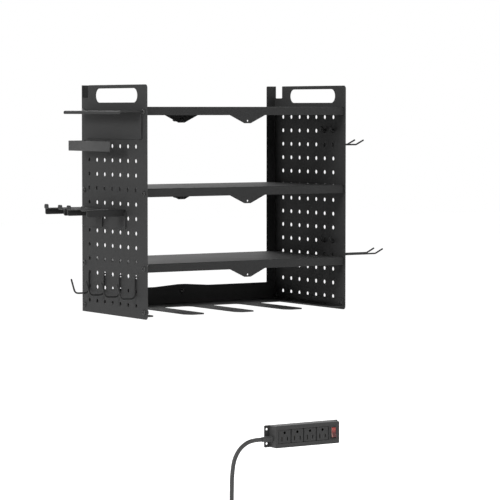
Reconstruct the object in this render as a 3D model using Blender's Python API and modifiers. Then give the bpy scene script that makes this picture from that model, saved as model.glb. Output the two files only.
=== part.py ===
"""Wall mounted tool rack with its pegboard holders and its power strip.

Metres, +Z up. X runs along the wall, the wall is the plane y = 0 and the rack
stands out from it towards -Y. The origin is the wall screw of the top shelf.
"""

import math

import bmesh
import bpy
from mathutils import Matrix, Vector
from mathutils.kdtree import KDTree

# Rack, overall
RACK_WIDTH = 0.4206
PANEL_DEPTH = 0.2355
PANEL_FOOT = 0.0060
PANEL_SHEET = 0.0015
PANEL_CORNER = 0.006
SEAT_GAP = 0.0003
CUT_OVERRUN = 0.002
WELD_DISTANCE = 0.000001
SHARP_ANGLE_DEG = 30
FLAT_ANGLE = 0.0005

# Peg holes in the side panels
PEG_ROWS = 14
PEG_COLUMNS = 7
PEG_HOLE_RADIUS = 0.0036
PEG_TOP_MARGIN = 0.0577
PEG_BOTTOM_MARGIN = 0.0221
PEG_FRONT_MARGIN = 0.0391
PEG_REAR_MARGIN = 0.0290
PEG_HOLE_SIDES = 8

# Hand slot, rear notch and rear flange of a side panel
HAND_SLOT_HEIGHT = 0.025
HAND_SLOT_FRONT_MARGIN = 0.0335
HAND_SLOT_REAR_MARGIN = 0.0274
HAND_SLOT_TOP_MARGIN = 0.0063
HAND_SLOT_STEPS = 6
NOTCH_LENGTH = 0.0256
NOTCH_DEPTH = 0.0226
FLANGE_WIDTH = 0.020

# Shelves
SHELF_SHEET = 0.0015
LIP_HEIGHT = 0.0148
SHELF_FRONT_SET = 0.004
TAB_ROOT = 0.074
TAB_TIP = 0.013
TAB_DROP = 0.0145
TAB_HOLE_RISE = 0.0044
TAB_HOLE_RADIUS = 0.0025
FRONT_HOLE_RADIUS = 0.0016
TOP_SHELF_DROP = 0.0389
UPPER_SHELF_DROP = 0.1814
LOWER_SHELF_DROP = 0.3130
DRILL_SHELF_BELOW = 0.0910

# Drill shelf: a comb with open slots
DRILL_SLOTS = 4
DRILL_SLOT_WIDTH = 0.062
DRILL_SLOT_DEPTH = 0.166
DRILL_SLOT_CORNER = 0.012
CORNER_STEPS = 3
FINGER_TIP_WIDTH = 0.025
FINGER_CHAMFER = 0.014
UPSTAND_HEIGHT = 0.0317
UPSTAND_PEAK = 0.0036
UPSTAND_PEAK_ROOT = 0.116
UPSTAND_PEAK_TIP = 0.0156
UPSTAND_SCREW_RISE = 0.022
DRILL_END_FLANGE = 0.0140

# Shelf bolts and their press nuts
BOLT_RADIUS = 0.0024
BOLT_CLEARANCE = 0.0004
BOLT_HEAD_RADIUS = 0.0047
BOLT_HEAD_HEIGHT = 0.0026
BOLT_EDGE_INSET = 0.0105
BOLT_DROP = 0.0082
BOLT_END = 0.0012
DRILL_BOLT_RISE = 0.0066
NUT_RADIUS = 0.0046
NUT_HEIGHT = 0.0034
BOLT_DOME_WIDTH_SHARE = 0.6
BOLT_DOME_HEIGHT_SHARE = 0.85
BOLT_SIDES = 8
NUT_SIDES = 6

# Wall screws
WALL_SCREW_RADIUS = 0.0021
WALL_SCREW_HEAD_RADIUS = 0.0045
WALL_SCREW_HEAD_HEIGHT = 0.0028
WALL_SCREW_BITE = 0.030
WALL_SCREW_POINT = 0.006
SCREW_POINT_RADIUS = 0.0004
SCREW_DOME_WIDTH_SHARE = 0.7
SCREW_DOME_HEIGHT_SHARE = 0.8

# Pegs that carry the holders
PEG_RADIUS = 0.0026
PEG_REACH = 0.0075
PEG_TURN_UP = 0.0085
PEG_BEND = 0.0045
BEND_STEPS = 3
WIRE_RESOLUTION = 2
CORD_RESOLUTION = 1
HOLDER_SHEET = 0.002

# Screwdriver rack, on the left panel
DRIVER_RACK_HEAD_GAP = 0.0008
DRIVER_RACK_REACH = 0.045
DRIVER_PLIER_GAP = 0.0037
DRIVER_RACK_LIFT = 0.0119
DRIVER_HOLES = 9
DRIVER_HOLE_RADIUS = 0.0045
DRIVER_HOLE_SIDES = 10
DRIVER_HOLE_OUT = 0.027
DRIVER_END_MARGIN = 0.011
DRIVER_RACK_LIP = 0.004
DRIVER_PEG_COLUMNS = (1, 5)
DRIVER_PEG_ROW = 1

# Plier rack, on the left panel
PLIER_RACK_REACH = 0.038
PLIER_RACK_HEIGHT = 0.018
PLIER_FOOT = 0.019
PLIER_PEG_COLUMNS = (4, 6)
PLIER_BAR_LENGTH = 0.1525
PLIER_PEG_ROW = 2

# Forks with an open slot, on the left panel
FORK_REACH = 0.082
FORKS_APART = 0.0117
FORK_GAP = 0.038
FORK_ROOT = 0.020
FORK_BACK = 0.034
FORK_SKIRT = 0.012
FORK_TIP_RISE = 0.007
FORK_LIFT = 0.0157
FORK_HEAD_GAP = 0.003
FORK_COLUMNS = (2, 5)

# Peg hooks, on the left panel
HOOK_WIRE_RADIUS = 0.0016
HOOK_WIRE_BEND = 0.0024
HOOK_BOWL_BEND = 0.0085
HOOK_ROW = 11
HOOK_COLUMNS = (0, 2, 4, 6)
HOOK_STAND_OFF = 0.0005
HOOK_DIP = 0.0125
HOOK_BOTTOM_OUT = 0.028
HOOK_TIP_OUT = 0.036
HOOK_TIP_RISE = 0.014

# Two pronged hooks, on the right panel
PRONG_RADIUS = 0.0015
UPPER_PRONG_LENGTH = 0.050
LOWER_PRONG_LENGTH = 0.0945
PRONG_TIP_OUT = 0.0175
PRONG_TIP_RISE = 0.0085
PRONG_BEND = 0.006
HAMMER_PLATE_MARGIN = 0.009
HAMMER_COLUMNS = (0, 1)
UPPER_HAMMER_ROW = 2
LOWER_HAMMER_ROW = 10

# Power strip: place on the wall, base and cover
STRIP_X = 0.270
STRIP_Z = -0.605
STRIP_LENGTH = 0.148
STRIP_WIDTH = 0.0427
STRIP_DEPTH = 0.0243
EAR_LENGTH = 0.0112
BASE_SHEET = 0.0015
COVER_WALL = 0.0020
COVER_EDGE = 0.0008
EAR_HOLE_RADIUS = 0.0022
EAR_HOLE_INSET = 0.0075
EAR_HOLE_SIDES = 8
EAR_SCREW_RADIUS = 0.0017
EAR_SCREW_HEAD_RADIUS = 0.0034
EAR_SCREW_HEAD_HEIGHT = 0.0020
EAR_SCREW_BITE = 0.020

# Outlets
OUTLET_COUNT = 4
OUTLET_SWITCH_GAP = 0.0030
OUTLET_HEIGHT = 0.0263
OUTLET_GROOVE = 0.0018
OUTLET_FIRST_MARGIN = 0.0065
OUTLET_RECESS = 0.0006
OUTLET_WALL = 0.0016
OUTLET_DEPTH = 0.0130
BLADE_SPACING = 0.0127
BLADE_SLOT_WIDTH = 0.0019
LIVE_SLOT_LENGTH = 0.0071
NEUTRAL_SLOT_LENGTH = 0.0087
BLADE_BELOW_CENTRE = 0.0045
GROUND_ABOVE_BLADES = 0.0119
GROUND_RADIUS = 0.0026
GROUND_SIDES = 8

# Contact bars behind the outlets
BAR_SHEET = 0.0008
BAR_HEIGHT = 0.0050
BAR_CLEAR = 0.0012
CLIP_WIDTH = 0.0040
CLIP_RISE = 0.0070
CLIP_OPENING = 0.0022
BAR_END_MARGIN = 0.003

# Rocker switch
SWITCH_MARGIN = 0.0142
BEZEL_WIDTH = 0.0150
BEZEL_HEIGHT = 0.0262
BEZEL_PROUD = 0.0010
SWITCH_BODY_WIDTH = 0.0126
SWITCH_BODY_HEIGHT = 0.0236
SWITCH_BODY_DEPTH = 0.0140
SWITCH_WALL = 0.0010
ROCKER_WIDTH = 0.0098
ROCKER_HEIGHT = 0.0194
ROCKER_RISE = 0.0030
ROCKER_THICKNESS = 0.0040
ROCKER_WEDGE_DEG = 12.0
ROCKER_REST_DEG = 10.0
ROCKER_AXIS_SUNK = 0.0020
ROCKER_WAIST_SHARE = 0.9
ROCKER_KEEL_SHARE = 0.3
ROCKER_HEEL_SHARE = 0.2
ROCKER_PIN_RADIUS = 0.0010
ROCKER_PIN_HOLE = 0.0013
ROCKER_PIN_END = 0.0009
LAMP_RADIUS = 0.0016
LAMP_LENGTH = 0.0050
LAMP_SIDES = 8

# Cord bushing
CORD_DIAMETER = 0.0083
BUSHING_Z_SHIFT = -0.004
CORD_DEPTH = 0.010
BUSHING_FLANGE_RADIUS = 0.0066
BUSHING_FLANGE = 0.0026
BUSHING_NECK_RADIUS = 0.0056
BUSHING_TIP_RADIUS = 0.0049
BUSHING_LENGTH = 0.022
BUSHING_INSIDE = 0.004
BUSHING_SIDES = 12

# Leads inside the strip
LEAD_RADIUS = 0.0011
LEAD_BEND = 0.0018

# Cover screws, flush with the back of the base
COVER_SCREW_RADIUS = 0.0012
COVER_SCREW_HEAD_RADIUS = 0.0024
COVER_BOSS_RADIUS = 0.0026
COVER_SCREW_LENGTH = 0.0085
COVER_SCREW_INSET = 0.0034

# Cord: the free stretch is a list of chosen steps (x, y, z) from the bushing's end
LEAD_ROUTE = (
    (0, 0, 0),
    (-0.0150, 0, -0.0003),
    (-0.0320, 0.0002, -0.0036),
    (-0.0490, 0.0006, -0.0150),
    (-0.0605, 0.0012, -0.0340),
    (-0.0652, 0.0020, -0.0620),
    (-0.0658, 0.0028, -0.0920),
    (-0.0662, 0.0036, -0.1220),
    (-0.0689, 0.0044, -0.1430),
    (-0.0745, 0.0048, -0.1570),
    (-0.0804, 0.0048, -0.1629),
)
LEAD_STEPS = 44
ROUTE_FINENESS = 40

# Coil of the length that hangs below, and the plug on its end
COIL_TURNS_A_LAYER = 3
COIL_PITCH = 0.0089
COIL_MEAN_RADIUS = 0.0457
COIL_START_DEG = 135.0
COIL_POINTS_A_TURN = 24
COIL_TAIL_DEG = 55.0
COIL_TAIL_RISE = 0.0170
TIE_WIDTH = 0.008
TIE_THICKNESS = 0.0014
TIE_EASE = 0.0010
TIE_TURN_DEG = 300.0
PLUG_LENGTH = 0.036
PLUG_WIDTH = 0.024
PLUG_THICKNESS = 0.020
PLUG_NECK_LENGTH = 0.014
PLUG_NECK_RADIUS = 0.0058
PLUG_EDGE = 0.003
PLUG_BLADE_LENGTH = 0.017
PLUG_BLADE_WIDTH = 0.0063
PLUG_BLADE_SHEET = 0.0015
PLUG_PIN_RADIUS = 0.0024
PLUG_BLADE_DROP = 0.0050

# Places worked out from the sizes above
HALF_WIDTH = RACK_WIDTH / 2
SHELF_TOP_Z = LIP_HEIGHT + TAB_DROP - TAB_HOLE_RISE
PANEL_TOP_Z = SHELF_TOP_Z + TOP_SHELF_DROP
DRILL_SHELF_DROP = LOWER_SHELF_DROP + DRILL_SHELF_BELOW
PANEL_HEIGHT = DRILL_SHELF_DROP + PANEL_FOOT
PANEL_BOTTOM_Z = PANEL_TOP_Z - PANEL_HEIGHT
PANEL_FRONT_Y = -PANEL_DEPTH
PEG_ROW_PITCH = (PANEL_HEIGHT - PEG_TOP_MARGIN - PEG_BOTTOM_MARGIN) / (PEG_ROWS - 1)
PEG_COLUMN_PITCH = (PANEL_DEPTH - PEG_FRONT_MARGIN - PEG_REAR_MARGIN) / (PEG_COLUMNS - 1)
HAND_SLOT_LENGTH = PANEL_DEPTH - HAND_SLOT_FRONT_MARGIN - HAND_SLOT_REAR_MARGIN - NOTCH_LENGTH
DRIVER_RACK_REAR_MARGIN = BOLT_EDGE_INSET + BOLT_HEAD_RADIUS + DRIVER_RACK_HEAD_GAP
DRIVER_RACK_LENGTH = PANEL_DEPTH - 2 * DRIVER_RACK_REAR_MARGIN
PLIER_TOP_DROP = PLIER_PEG_ROW * PEG_ROW_PITCH - PLIER_RACK_HEIGHT / 2
DRIVER_RACK_BACK = DRIVER_RACK_LIFT + PLIER_TOP_DROP - DRIVER_PLIER_GAP
UPPER_HEADS_BOTTOM = UPPER_SHELF_DROP + BOLT_DROP + BOLT_HEAD_RADIUS
FORK_CREST_DROP = UPPER_HEADS_BOTTOM + FORK_HEAD_GAP + FORK_TIP_RISE + FORK_LIFT - PEG_TOP_MARGIN
FORK_PEG_ROW = math.ceil(FORK_CREST_DROP / PEG_ROW_PITCH)
FORK_HALF_WIDTH = ((FORK_COLUMNS[-1] - FORK_COLUMNS[0]) * PEG_COLUMN_PITCH - FORKS_APART) / 2
SHELF_BACK_Y = -PANEL_SHEET - SEAT_GAP
SHELF_FRONT_Y = PANEL_FRONT_Y + SHELF_FRONT_SET
SHELF_HALF = HALF_WIDTH - PANEL_SHEET - SEAT_GAP
DRILL_SHELF_TOP_Z = PANEL_TOP_Z - DRILL_SHELF_DROP
LEFT_FACE_X = -HALF_WIDTH - SEAT_GAP
RIGHT_FACE_X = HALF_WIDTH + SEAT_GAP
LEFT, RIGHT = -1, 1
STRIP_LEFT_X = STRIP_X - STRIP_LENGTH / 2
STRIP_RIGHT_X = STRIP_X + STRIP_LENGTH / 2
STRIP_FACE_Y = -STRIP_DEPTH
COVER_BACK_Y = -BASE_SHEET - SEAT_GAP
OUTLETS_LEFT_X = STRIP_LEFT_X + OUTLET_FIRST_MARGIN
OUTLETS_END_MARGIN = SWITCH_MARGIN + BEZEL_WIDTH / 2 + OUTLET_SWITCH_GAP
OUTLET_PITCH = (STRIP_LENGTH - OUTLET_FIRST_MARGIN - OUTLETS_END_MARGIN) / OUTLET_COUNT
OUTLETS_RIGHT_X = OUTLETS_LEFT_X + OUTLET_COUNT * OUTLET_PITCH
OUTLET_FACE_Y = STRIP_FACE_Y + OUTLET_RECESS
OUTLET_BACK_Y = OUTLET_FACE_Y + OUTLET_DEPTH
BAR_FRONT_Y = OUTLET_BACK_Y + BAR_CLEAR
BLADE_Z = STRIP_Z - BLADE_BELOW_CENTRE
GROUND_Z = BLADE_Z + GROUND_ABOVE_BLADES
BAR_STEP = BAR_HEIGHT / 2 + SEAT_GAP
SWITCH_X = STRIP_RIGHT_X - SWITCH_MARGIN
SWITCH_FACE_Y = STRIP_FACE_Y - SEAT_GAP
ROCKER_AXIS = (SWITCH_X, STRIP_FACE_Y + ROCKER_AXIS_SUNK, STRIP_Z)
CORD_RADIUS = CORD_DIAMETER / 2
CORD_EXIT_X = STRIP_LEFT_X - SEAT_GAP - BUSHING_LENGTH - SEAT_GAP
CORD_EXIT = (CORD_EXIT_X, -CORD_DEPTH, STRIP_Z + BUSHING_Z_SHIFT)
COIL_OUTER_RADIUS = COIL_MEAN_RADIUS + COIL_PITCH * COIL_TURNS_A_LAYER / 2

# How a flat outline's u, v and thickness lie in the world: as y, z, x, as x, z, -y, as x, y, z
UPRIGHT_SIDE = Matrix(((0, 0, 1), (1, 0, 0), (0, 1, 0)))
UPRIGHT_FRONT = Matrix(((1, 0, 0), (0, 0, -1), (0, 1, 0)))
LEVEL = Matrix(((1, 0, 0), (0, 1, 0), (0, 0, 1)))


def clear_scene():
    for item in list(bpy.data.objects):
        bpy.data.objects.remove(item, do_unlink=True)


def collection(name):
    group = bpy.data.collections.new(name)
    bpy.context.scene.collection.children.link(group)
    return group


clear_scene()
PARTS = collection("wall_tool_rack")
CUTTERS = collection("cutters")


def material(name, colour, roughness, metallic):
    """One Principled material, made once and shared by name."""
    found = bpy.data.materials.get(name)
    if found:
        return found
    made = bpy.data.materials.new(name)
    made.use_nodes = True
    shader = made.node_tree.nodes["Principled BSDF"]
    shader.inputs["Base Color"].default_value = (*colour, 1)
    shader.inputs["Roughness"].default_value = roughness
    shader.inputs["Metallic"].default_value = metallic
    made.diffuse_color = (*colour, 1)
    return made


def powder_coat():
    return material("powder_coat_black", (0.032, 0.031, 0.033), 0.55, 0)


def zinc():
    return material("zinc_steel", (0.42, 0.43, 0.44), 0.35, 1)


def black_steel():
    return material("black_steel", (0.05, 0.05, 0.055), 0.4, 1)


def housing_plastic():
    return material("housing_black", (0.062, 0.062, 0.064), 0.5, 0)


def outlet_plastic():
    return material("outlet_black", (0.055, 0.055, 0.058), 0.45, 0)


def contact_brass():
    return material("contact_brass", (0.70, 0.52, 0.22), 0.3, 1)


def rocker_red():
    return material("rocker_red", (0.52, 0.016, 0.010), 0.2, 0)


def lamp_orange():
    return material("lamp_orange", (0.9, 0.25, 0.05), 0.1, 0)


def cord_rubber():
    return material("cord_black", (0.045, 0.045, 0.048), 0.6, 0)


def tie_nylon():
    return material("tie_black", (0.02, 0.02, 0.02), 0.5, 0)


def lead_plastic(name, colour):
    return material(name, colour, 0.5, 0)


def solid(mesh):
    """A working solid, kept in the cutters' collection until it is finished."""
    item = bpy.data.objects.new("solid", mesh)
    item.hide_render = True
    item.display_type = "WIRE"
    CUTTERS.objects.link(item)
    return item


def mesh_from(bm):
    mesh = bpy.data.meshes.new("solid")
    bm.to_mesh(mesh)
    bm.free()
    return mesh


def baked(item, weld=False):
    """The object with its modifiers and its placing worked into its mesh."""
    bpy.context.view_layer.update()
    graph = bpy.context.evaluated_depsgraph_get()
    mesh = bpy.data.meshes.new_from_object(item.evaluated_get(graph))
    mesh.transform(item.matrix_world)
    if weld:
        bm = bmesh.new()
        bm.from_mesh(mesh)
        bmesh.ops.remove_doubles(bm, verts=bm.verts, dist=WELD_DISTANCE)
        bmesh.ops.beautify_fill(bm, faces=bm.faces, edges=bm.edges, method="ANGLE")
        bm.to_mesh(mesh)
        bm.free()
    bpy.data.objects.remove(item, do_unlink=True)
    return solid(mesh)


def box(low, high):
    """A box between two corners, so that boxes that share a face share its exact place."""
    bm = bmesh.new()
    bmesh.ops.create_cube(bm, size=1)
    for vert in bm.verts:
        vert.co = [high[k] if vert.co[k] > 0 else low[k] for k in range(3)]
    return solid(mesh_from(bm))


def rod(start, end, radius, sides, end_radius=None):
    """A closed cylinder or cone from start to end."""
    start, end = Vector(start), Vector(end)
    along = end - start
    far = radius if end_radius is None else end_radius
    bm = bmesh.new()
    bmesh.ops.create_cone(bm, cap_ends=True, segments=sides, radius1=radius, radius2=far, depth=along.length)
    turn = along.to_track_quat("Z", "Y").to_matrix().to_4x4()
    bmesh.ops.transform(bm, matrix=Matrix.Translation((start + end) / 2) @ turn, verts=bm.verts)
    return solid(mesh_from(bm))


def circle(u, v, radius, sides):
    turns = (math.tau * (k + 1 / 2) / sides for k in range(sides))
    return [(u + radius * math.cos(turn), v + radius * math.sin(turn)) for turn in turns]


def arc(u, v, radius, first_deg, last_deg, steps):
    turns = (math.radians(first_deg + (last_deg - first_deg) * k / steps) for k in range(steps + 1))
    return [(u + radius * math.cos(turn), v + radius * math.sin(turn)) for turn in turns]


def stadium(u_first, u_last, v, radius, steps):
    end = arc(u_last - radius, v, radius, -90, 90, steps)
    return end + arc(u_first + radius, v, radius, 90, 270, steps)


def rounded_box_ring(half_u, half_v, radius, steps):
    ring = arc(half_u - radius, half_v - radius, radius, 0, 90, steps)
    ring += arc(radius - half_u, half_v - radius, radius, 90, 180, steps)
    ring += arc(radius - half_u, radius - half_v, radius, 180, 270, steps)
    return ring + arc(half_u - radius, radius - half_v, radius, 270, 360, steps)


def plate(outline, holes, low, high, facing):
    """A flat outline with holes, from low to high along its thickness, turned by facing."""
    curve = bpy.data.curves.new("outline", "CURVE")
    curve.dimensions = "2D"
    curve.fill_mode = "BOTH"
    curve.extrude = (high - low) / 2
    for ring in [outline, *holes]:
        spline = curve.splines.new("POLY")
        spline.points.add(len(ring) - 1)
        for point, (u, v) in zip(spline.points, ring):
            point.co = (u, v, 0, 1)
        spline.use_cyclic_u = True
    item = bpy.data.objects.new("plate", curve)
    CUTTERS.objects.link(item)
    made = baked(item, weld=True)
    corners = [point for ring in (outline, *holes) for point in ring]
    tree = KDTree(len(corners))
    for number, (u, v) in enumerate(corners):
        tree.insert((u, v, 0), number)
    tree.balance()
    for vert in made.data.vertices:
        u, v, side = vert.co
        _, nearest, _ = tree.find((u, v, 0))
        vert.co = facing @ Vector((*corners[nearest], high if side > 0 else low))
    return made


def tube(points, radius, bevel_resolution):
    """A round bar or wire along a list of points."""
    curve = bpy.data.curves.new("wire", "CURVE")
    curve.dimensions = "3D"
    curve.bevel_depth = radius
    curve.bevel_resolution = bevel_resolution
    curve.use_fill_caps = True
    spline = curve.splines.new("POLY")
    spline.points.add(len(points) - 1)
    for point, place in zip(spline.points, points):
        point.co = (*place, 1)
    item = bpy.data.objects.new("tube", curve)
    CUTTERS.objects.link(item)
    return baked(item, weld=True)


def bent(corners, radii):
    """The line through the corners, with an arc of the given radius at each inner one."""
    corners = [Vector(corner) for corner in corners]
    path = [corners[0]]
    for before, corner, after, radius in zip(corners, corners[1:], corners[2:], radii):
        come = (corner - before).normalized()
        leave = (after - corner).normalized()
        turn = come.angle(leave)
        inward = (leave - come * leave.dot(come)).normalized()
        centre = corner - come * radius * math.tan(turn / 2) + inward * radius
        for step in range(BEND_STEPS + 1):
            angle = turn * step / BEND_STEPS
            path.append(centre + (come * math.sin(angle) - inward * math.cos(angle)) * radius)
    return [*path, corners[-1]]


def turned(profile, sides, start, axis):
    """A profile of (radius, height) pairs, top to bottom, turned about an axis."""
    bm = bmesh.new()
    corners = [bm.verts.new((radius, 0, height)) for radius, height in profile]
    for first, second in zip(corners, corners[1:]):
        bm.edges.new((first, second))
    item = solid(mesh_from(bm))
    screw = item.modifiers.new("Screw", "SCREW")
    screw.steps = sides
    screw.render_steps = sides
    screw.use_merge_vertices = True
    screw.merge_threshold = WELD_DISTANCE
    turn = Vector(axis).to_track_quat("Z", "Y").to_matrix().to_4x4()
    item.matrix_world = Matrix.Translation(start) @ turn
    return baked(item)


def bevelled(item, width, segments):
    bevel = item.modifiers.new("Edge", "BEVEL")
    bevel.width = width
    bevel.segments = segments
    return baked(item)


def combine(item, other, operation):
    """A Boolean of two solids, worked into the first, with the second one used up."""
    change = item.modifiers.new("Boolean", "BOOLEAN")
    change.operation = operation
    change.solver = "EXACT"
    change.object = other
    made = baked(item)
    bpy.data.objects.remove(other, do_unlink=True)
    return made


def joined(item, others):
    for other in others:
        item = combine(item, other, "UNION")
    return item


def cut(item, others):
    for other in others:
        item = combine(item, other, "DIFFERENCE")
    return item


def merge_flat_faces(mesh):
    """Flat faces that Booleans left in many triangles become whole again."""
    bm = bmesh.new()
    bm.from_mesh(mesh)
    bmesh.ops.dissolve_limit(bm, angle_limit=FLAT_ANGLE, verts=bm.verts, edges=bm.edges)
    bmesh.ops.triangulate(bm, faces=bm.faces)
    bm.to_mesh(mesh)
    bm.free()


def finish(item, name, paint, origin=(0, 0, 0)):
    """The solid becomes a named sub-part, with its origin at a chosen point."""
    mesh = item.data
    mesh.name = name
    merge_flat_faces(mesh)
    mesh.transform(Matrix.Translation(-Vector(origin)))
    mesh.shade_smooth()
    mesh.set_sharp_from_angle(angle=math.radians(SHARP_ANGLE_DEG))
    mesh.materials.clear()
    mesh.materials.append(paint)
    bpy.data.objects.remove(item, do_unlink=True)
    part = bpy.data.objects.new(name, mesh)
    part.location = origin
    PARTS.objects.link(part)
    return part


def around(radius, sides):
    """Corner radius of a ring of flat sides that clears a circle of this radius."""
    return radius / math.cos(math.pi / sides)


def peg_row_z(row):
    return PANEL_TOP_Z - PEG_TOP_MARGIN - row * PEG_ROW_PITCH


def peg_column_y(column):
    return PANEL_FRONT_Y + PEG_FRONT_MARGIN + column * PEG_COLUMN_PITCH


def pan_tops():
    drops = (TOP_SHELF_DROP, UPPER_SHELF_DROP, LOWER_SHELF_DROP)
    return [PANEL_TOP_Z - drop for drop in drops]


def bolt_heights():
    return [top - BOLT_DROP for top in pan_tops()] + [DRILL_SHELF_TOP_Z + DRILL_BOLT_RISE]


def bolt_depths():
    return PANEL_FRONT_Y + BOLT_EDGE_INSET, -BOLT_EDGE_INSET


def bolt_hole_radius():
    return around(BOLT_RADIUS + BOLT_CLEARANCE, BOLT_SIDES)


def side_panel(side, name):
    """Perforated sheet with a hand slot, a notched top edge and a flange against the wall."""
    rear = -PANEL_SHEET / 2
    notch_floor = PANEL_TOP_Z - NOTCH_DEPTH
    corner = PANEL_CORNER
    outline = [(rear, PANEL_BOTTOM_Z), (rear, notch_floor), (-NOTCH_LENGTH, notch_floor)]
    outline += [(-NOTCH_LENGTH, PANEL_TOP_Z)]
    outline += arc(PANEL_FRONT_Y + corner, PANEL_TOP_Z - corner, corner, 90, 180, CORNER_STEPS)
    outline += arc(PANEL_FRONT_Y + corner, PANEL_BOTTOM_Z + corner, corner, 180, 270, CORNER_STEPS)
    holes = [
        circle(peg_column_y(column), peg_row_z(row), PEG_HOLE_RADIUS, PEG_HOLE_SIDES)
        for row in range(PEG_ROWS)
        for column in range(PEG_COLUMNS)
    ]
    slot_front = PANEL_FRONT_Y + HAND_SLOT_FRONT_MARGIN
    slot_z = PANEL_TOP_Z - HAND_SLOT_TOP_MARGIN - HAND_SLOT_HEIGHT / 2
    slot = (slot_front, slot_front + HAND_SLOT_LENGTH, slot_z, HAND_SLOT_HEIGHT / 2)
    holes.append(stadium(*slot, HAND_SLOT_STEPS))
    holes += [circle(y, z, bolt_hole_radius(), BOLT_SIDES) for z in bolt_heights() for y in bolt_depths()]
    near, far = sorted((side * (HALF_WIDTH - PANEL_SHEET), side * HALF_WIDTH))
    sheet = plate(outline, [], near, far, UPRIGHT_SIDE)
    drills = plate(holes[0], holes[1:], near - CUT_OVERRUN, far + CUT_OVERRUN, UPRIGHT_SIDE)
    near, far = sorted((side * (HALF_WIDTH - FLANGE_WIDTH), side * HALF_WIDTH))
    flange = box((near, -PANEL_SHEET, PANEL_BOTTOM_Z), (far, 0, PANEL_TOP_Z))
    finish(cut(joined(sheet, [flange]), [drills]), name, powder_coat())


def with_nuts(item, z):
    """Press nuts on the inner faces of both end flanges, bored through with the flanges."""
    outer = SHELF_HALF - SHELF_SHEET / 2
    inner = SHELF_HALF - SHELF_SHEET - NUT_HEIGHT
    reach = SHELF_HALF + CUT_OVERRUN
    for y in bolt_depths():
        nuts = [rod((side * outer, y, z), (side * inner, y, z), NUT_RADIUS, NUT_SIDES) for side in (LEFT, RIGHT)]
        item = joined(item, nuts)
        item = cut(item, [rod((-reach, y, z), (reach, y, z), bolt_hole_radius(), BOLT_SIDES)])
    return item


def tab_drill(end, radius, z):
    """A drill from mid depth out through the sheet at this end."""
    middle = (SHELF_FRONT_Y + SHELF_BACK_Y) / 2
    past = end + math.copysign(CUT_OVERRUN, end - middle)
    return rod((0, middle, z), (0, past, z), around(radius, BOLT_SIDES), BOLT_SIDES)


def pan_shelf(top, name):
    """A folded tray, open below, whose front and rear lips each drop into a tapered tab."""
    lip_z = top - LIP_HEIGHT
    tab_z = lip_z - TAB_DROP
    below = tab_z - CUT_OVERRUN
    tray = box((-SHELF_HALF, SHELF_FRONT_Y, tab_z), (SHELF_HALF, SHELF_BACK_Y, top))
    inner = SHELF_HALF - SHELF_SHEET
    low = (-inner, SHELF_FRONT_Y + SHELF_SHEET, below)
    hollow = box(low, (inner, SHELF_BACK_Y - SHELF_SHEET, top - SHELF_SHEET))
    past = SHELF_HALF + CUT_OVERRUN
    slope = [(-past, below), (-TAB_TIP / 2, below), (-TAB_TIP / 2, tab_z), (-TAB_ROOT / 2, lip_z), (-past, lip_z)]
    mirrored = [(-u, v) for u, v in reversed(slope)]
    trims = [plate(ring, [], 0, PANEL_DEPTH + CUT_OVERRUN, UPRIGHT_FRONT) for ring in (slope, mirrored)]
    tray = with_nuts(cut(tray, [hollow, *trims]), top - BOLT_DROP)
    hole_z = tab_z + TAB_HOLE_RISE
    drills = [tab_drill(SHELF_FRONT_Y, FRONT_HOLE_RADIUS, hole_z), tab_drill(SHELF_BACK_Y, TAB_HOLE_RADIUS, hole_z)]
    finish(cut(tray, drills), name, powder_coat())


def comb_outline():
    """The rear edge, then the open slots with the chamfered fingers between them."""
    pitch = 2 * SHELF_HALF / DRILL_SLOTS
    floor_y = SHELF_FRONT_Y + DRILL_SLOT_DEPTH
    taper = (pitch - DRILL_SLOT_WIDTH - FINGER_TIP_WIDTH) / 2
    corner = DRILL_SLOT_CORNER
    points = [(-SHELF_HALF, SHELF_BACK_Y), (-SHELF_HALF, SHELF_FRONT_Y)]
    for slot in range(DRILL_SLOTS):
        middle = -SHELF_HALF + pitch * (slot + 1 / 2)
        first = middle - DRILL_SLOT_WIDTH / 2
        last = middle + DRILL_SLOT_WIDTH / 2
        points += [(first - taper, SHELF_FRONT_Y), (first, SHELF_FRONT_Y + FINGER_CHAMFER)]
        points += arc(first + corner, floor_y - corner, corner, 180, 90, CORNER_STEPS)
        points += arc(last - corner, floor_y - corner, corner, 90, 0, CORNER_STEPS)
        points += [(last, SHELF_FRONT_Y + FINGER_CHAMFER), (last + taper, SHELF_FRONT_Y)]
    return points + [(SHELF_HALF, SHELF_FRONT_Y), (SHELF_HALF, SHELF_BACK_Y)]


def drill_shelf():
    """Comb shelf: a flat sheet with open slots, an upstand at the wall and two end flanges."""
    top = DRILL_SHELF_TOP_Z
    sheet = SHELF_SHEET
    comb = plate(comb_outline(), [], top - sheet, top, LEVEL)
    crest = top + UPSTAND_HEIGHT
    bottom = top - sheet / 2
    rise = [(SHELF_HALF, bottom), (SHELF_HALF, crest), (UPSTAND_PEAK_ROOT / 2, crest)]
    rise += [(UPSTAND_PEAK_TIP / 2, crest + UPSTAND_PEAK)]
    back = rise + [(-u, v) for u, v in reversed(rise)]
    pieces = [plate(back, [], -SHELF_BACK_Y, -SHELF_BACK_Y + sheet, UPRIGHT_FRONT)]
    for side in (LEFT, RIGHT):
        near, far = sorted((side * SHELF_HALF, side * (SHELF_HALF - sheet)))
        high = (far, SHELF_BACK_Y - sheet / 2, top + DRILL_END_FLANGE)
        pieces.append(box((near, SHELF_FRONT_Y, bottom), high))
    comb = with_nuts(joined(comb, pieces), top + DRILL_BOLT_RISE)
    drill = tab_drill(SHELF_BACK_Y, TAB_HOLE_RADIUS, top + UPSTAND_SCREW_RISE)
    finish(cut(comb, [drill]), "drill_shelf", powder_coat())


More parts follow.
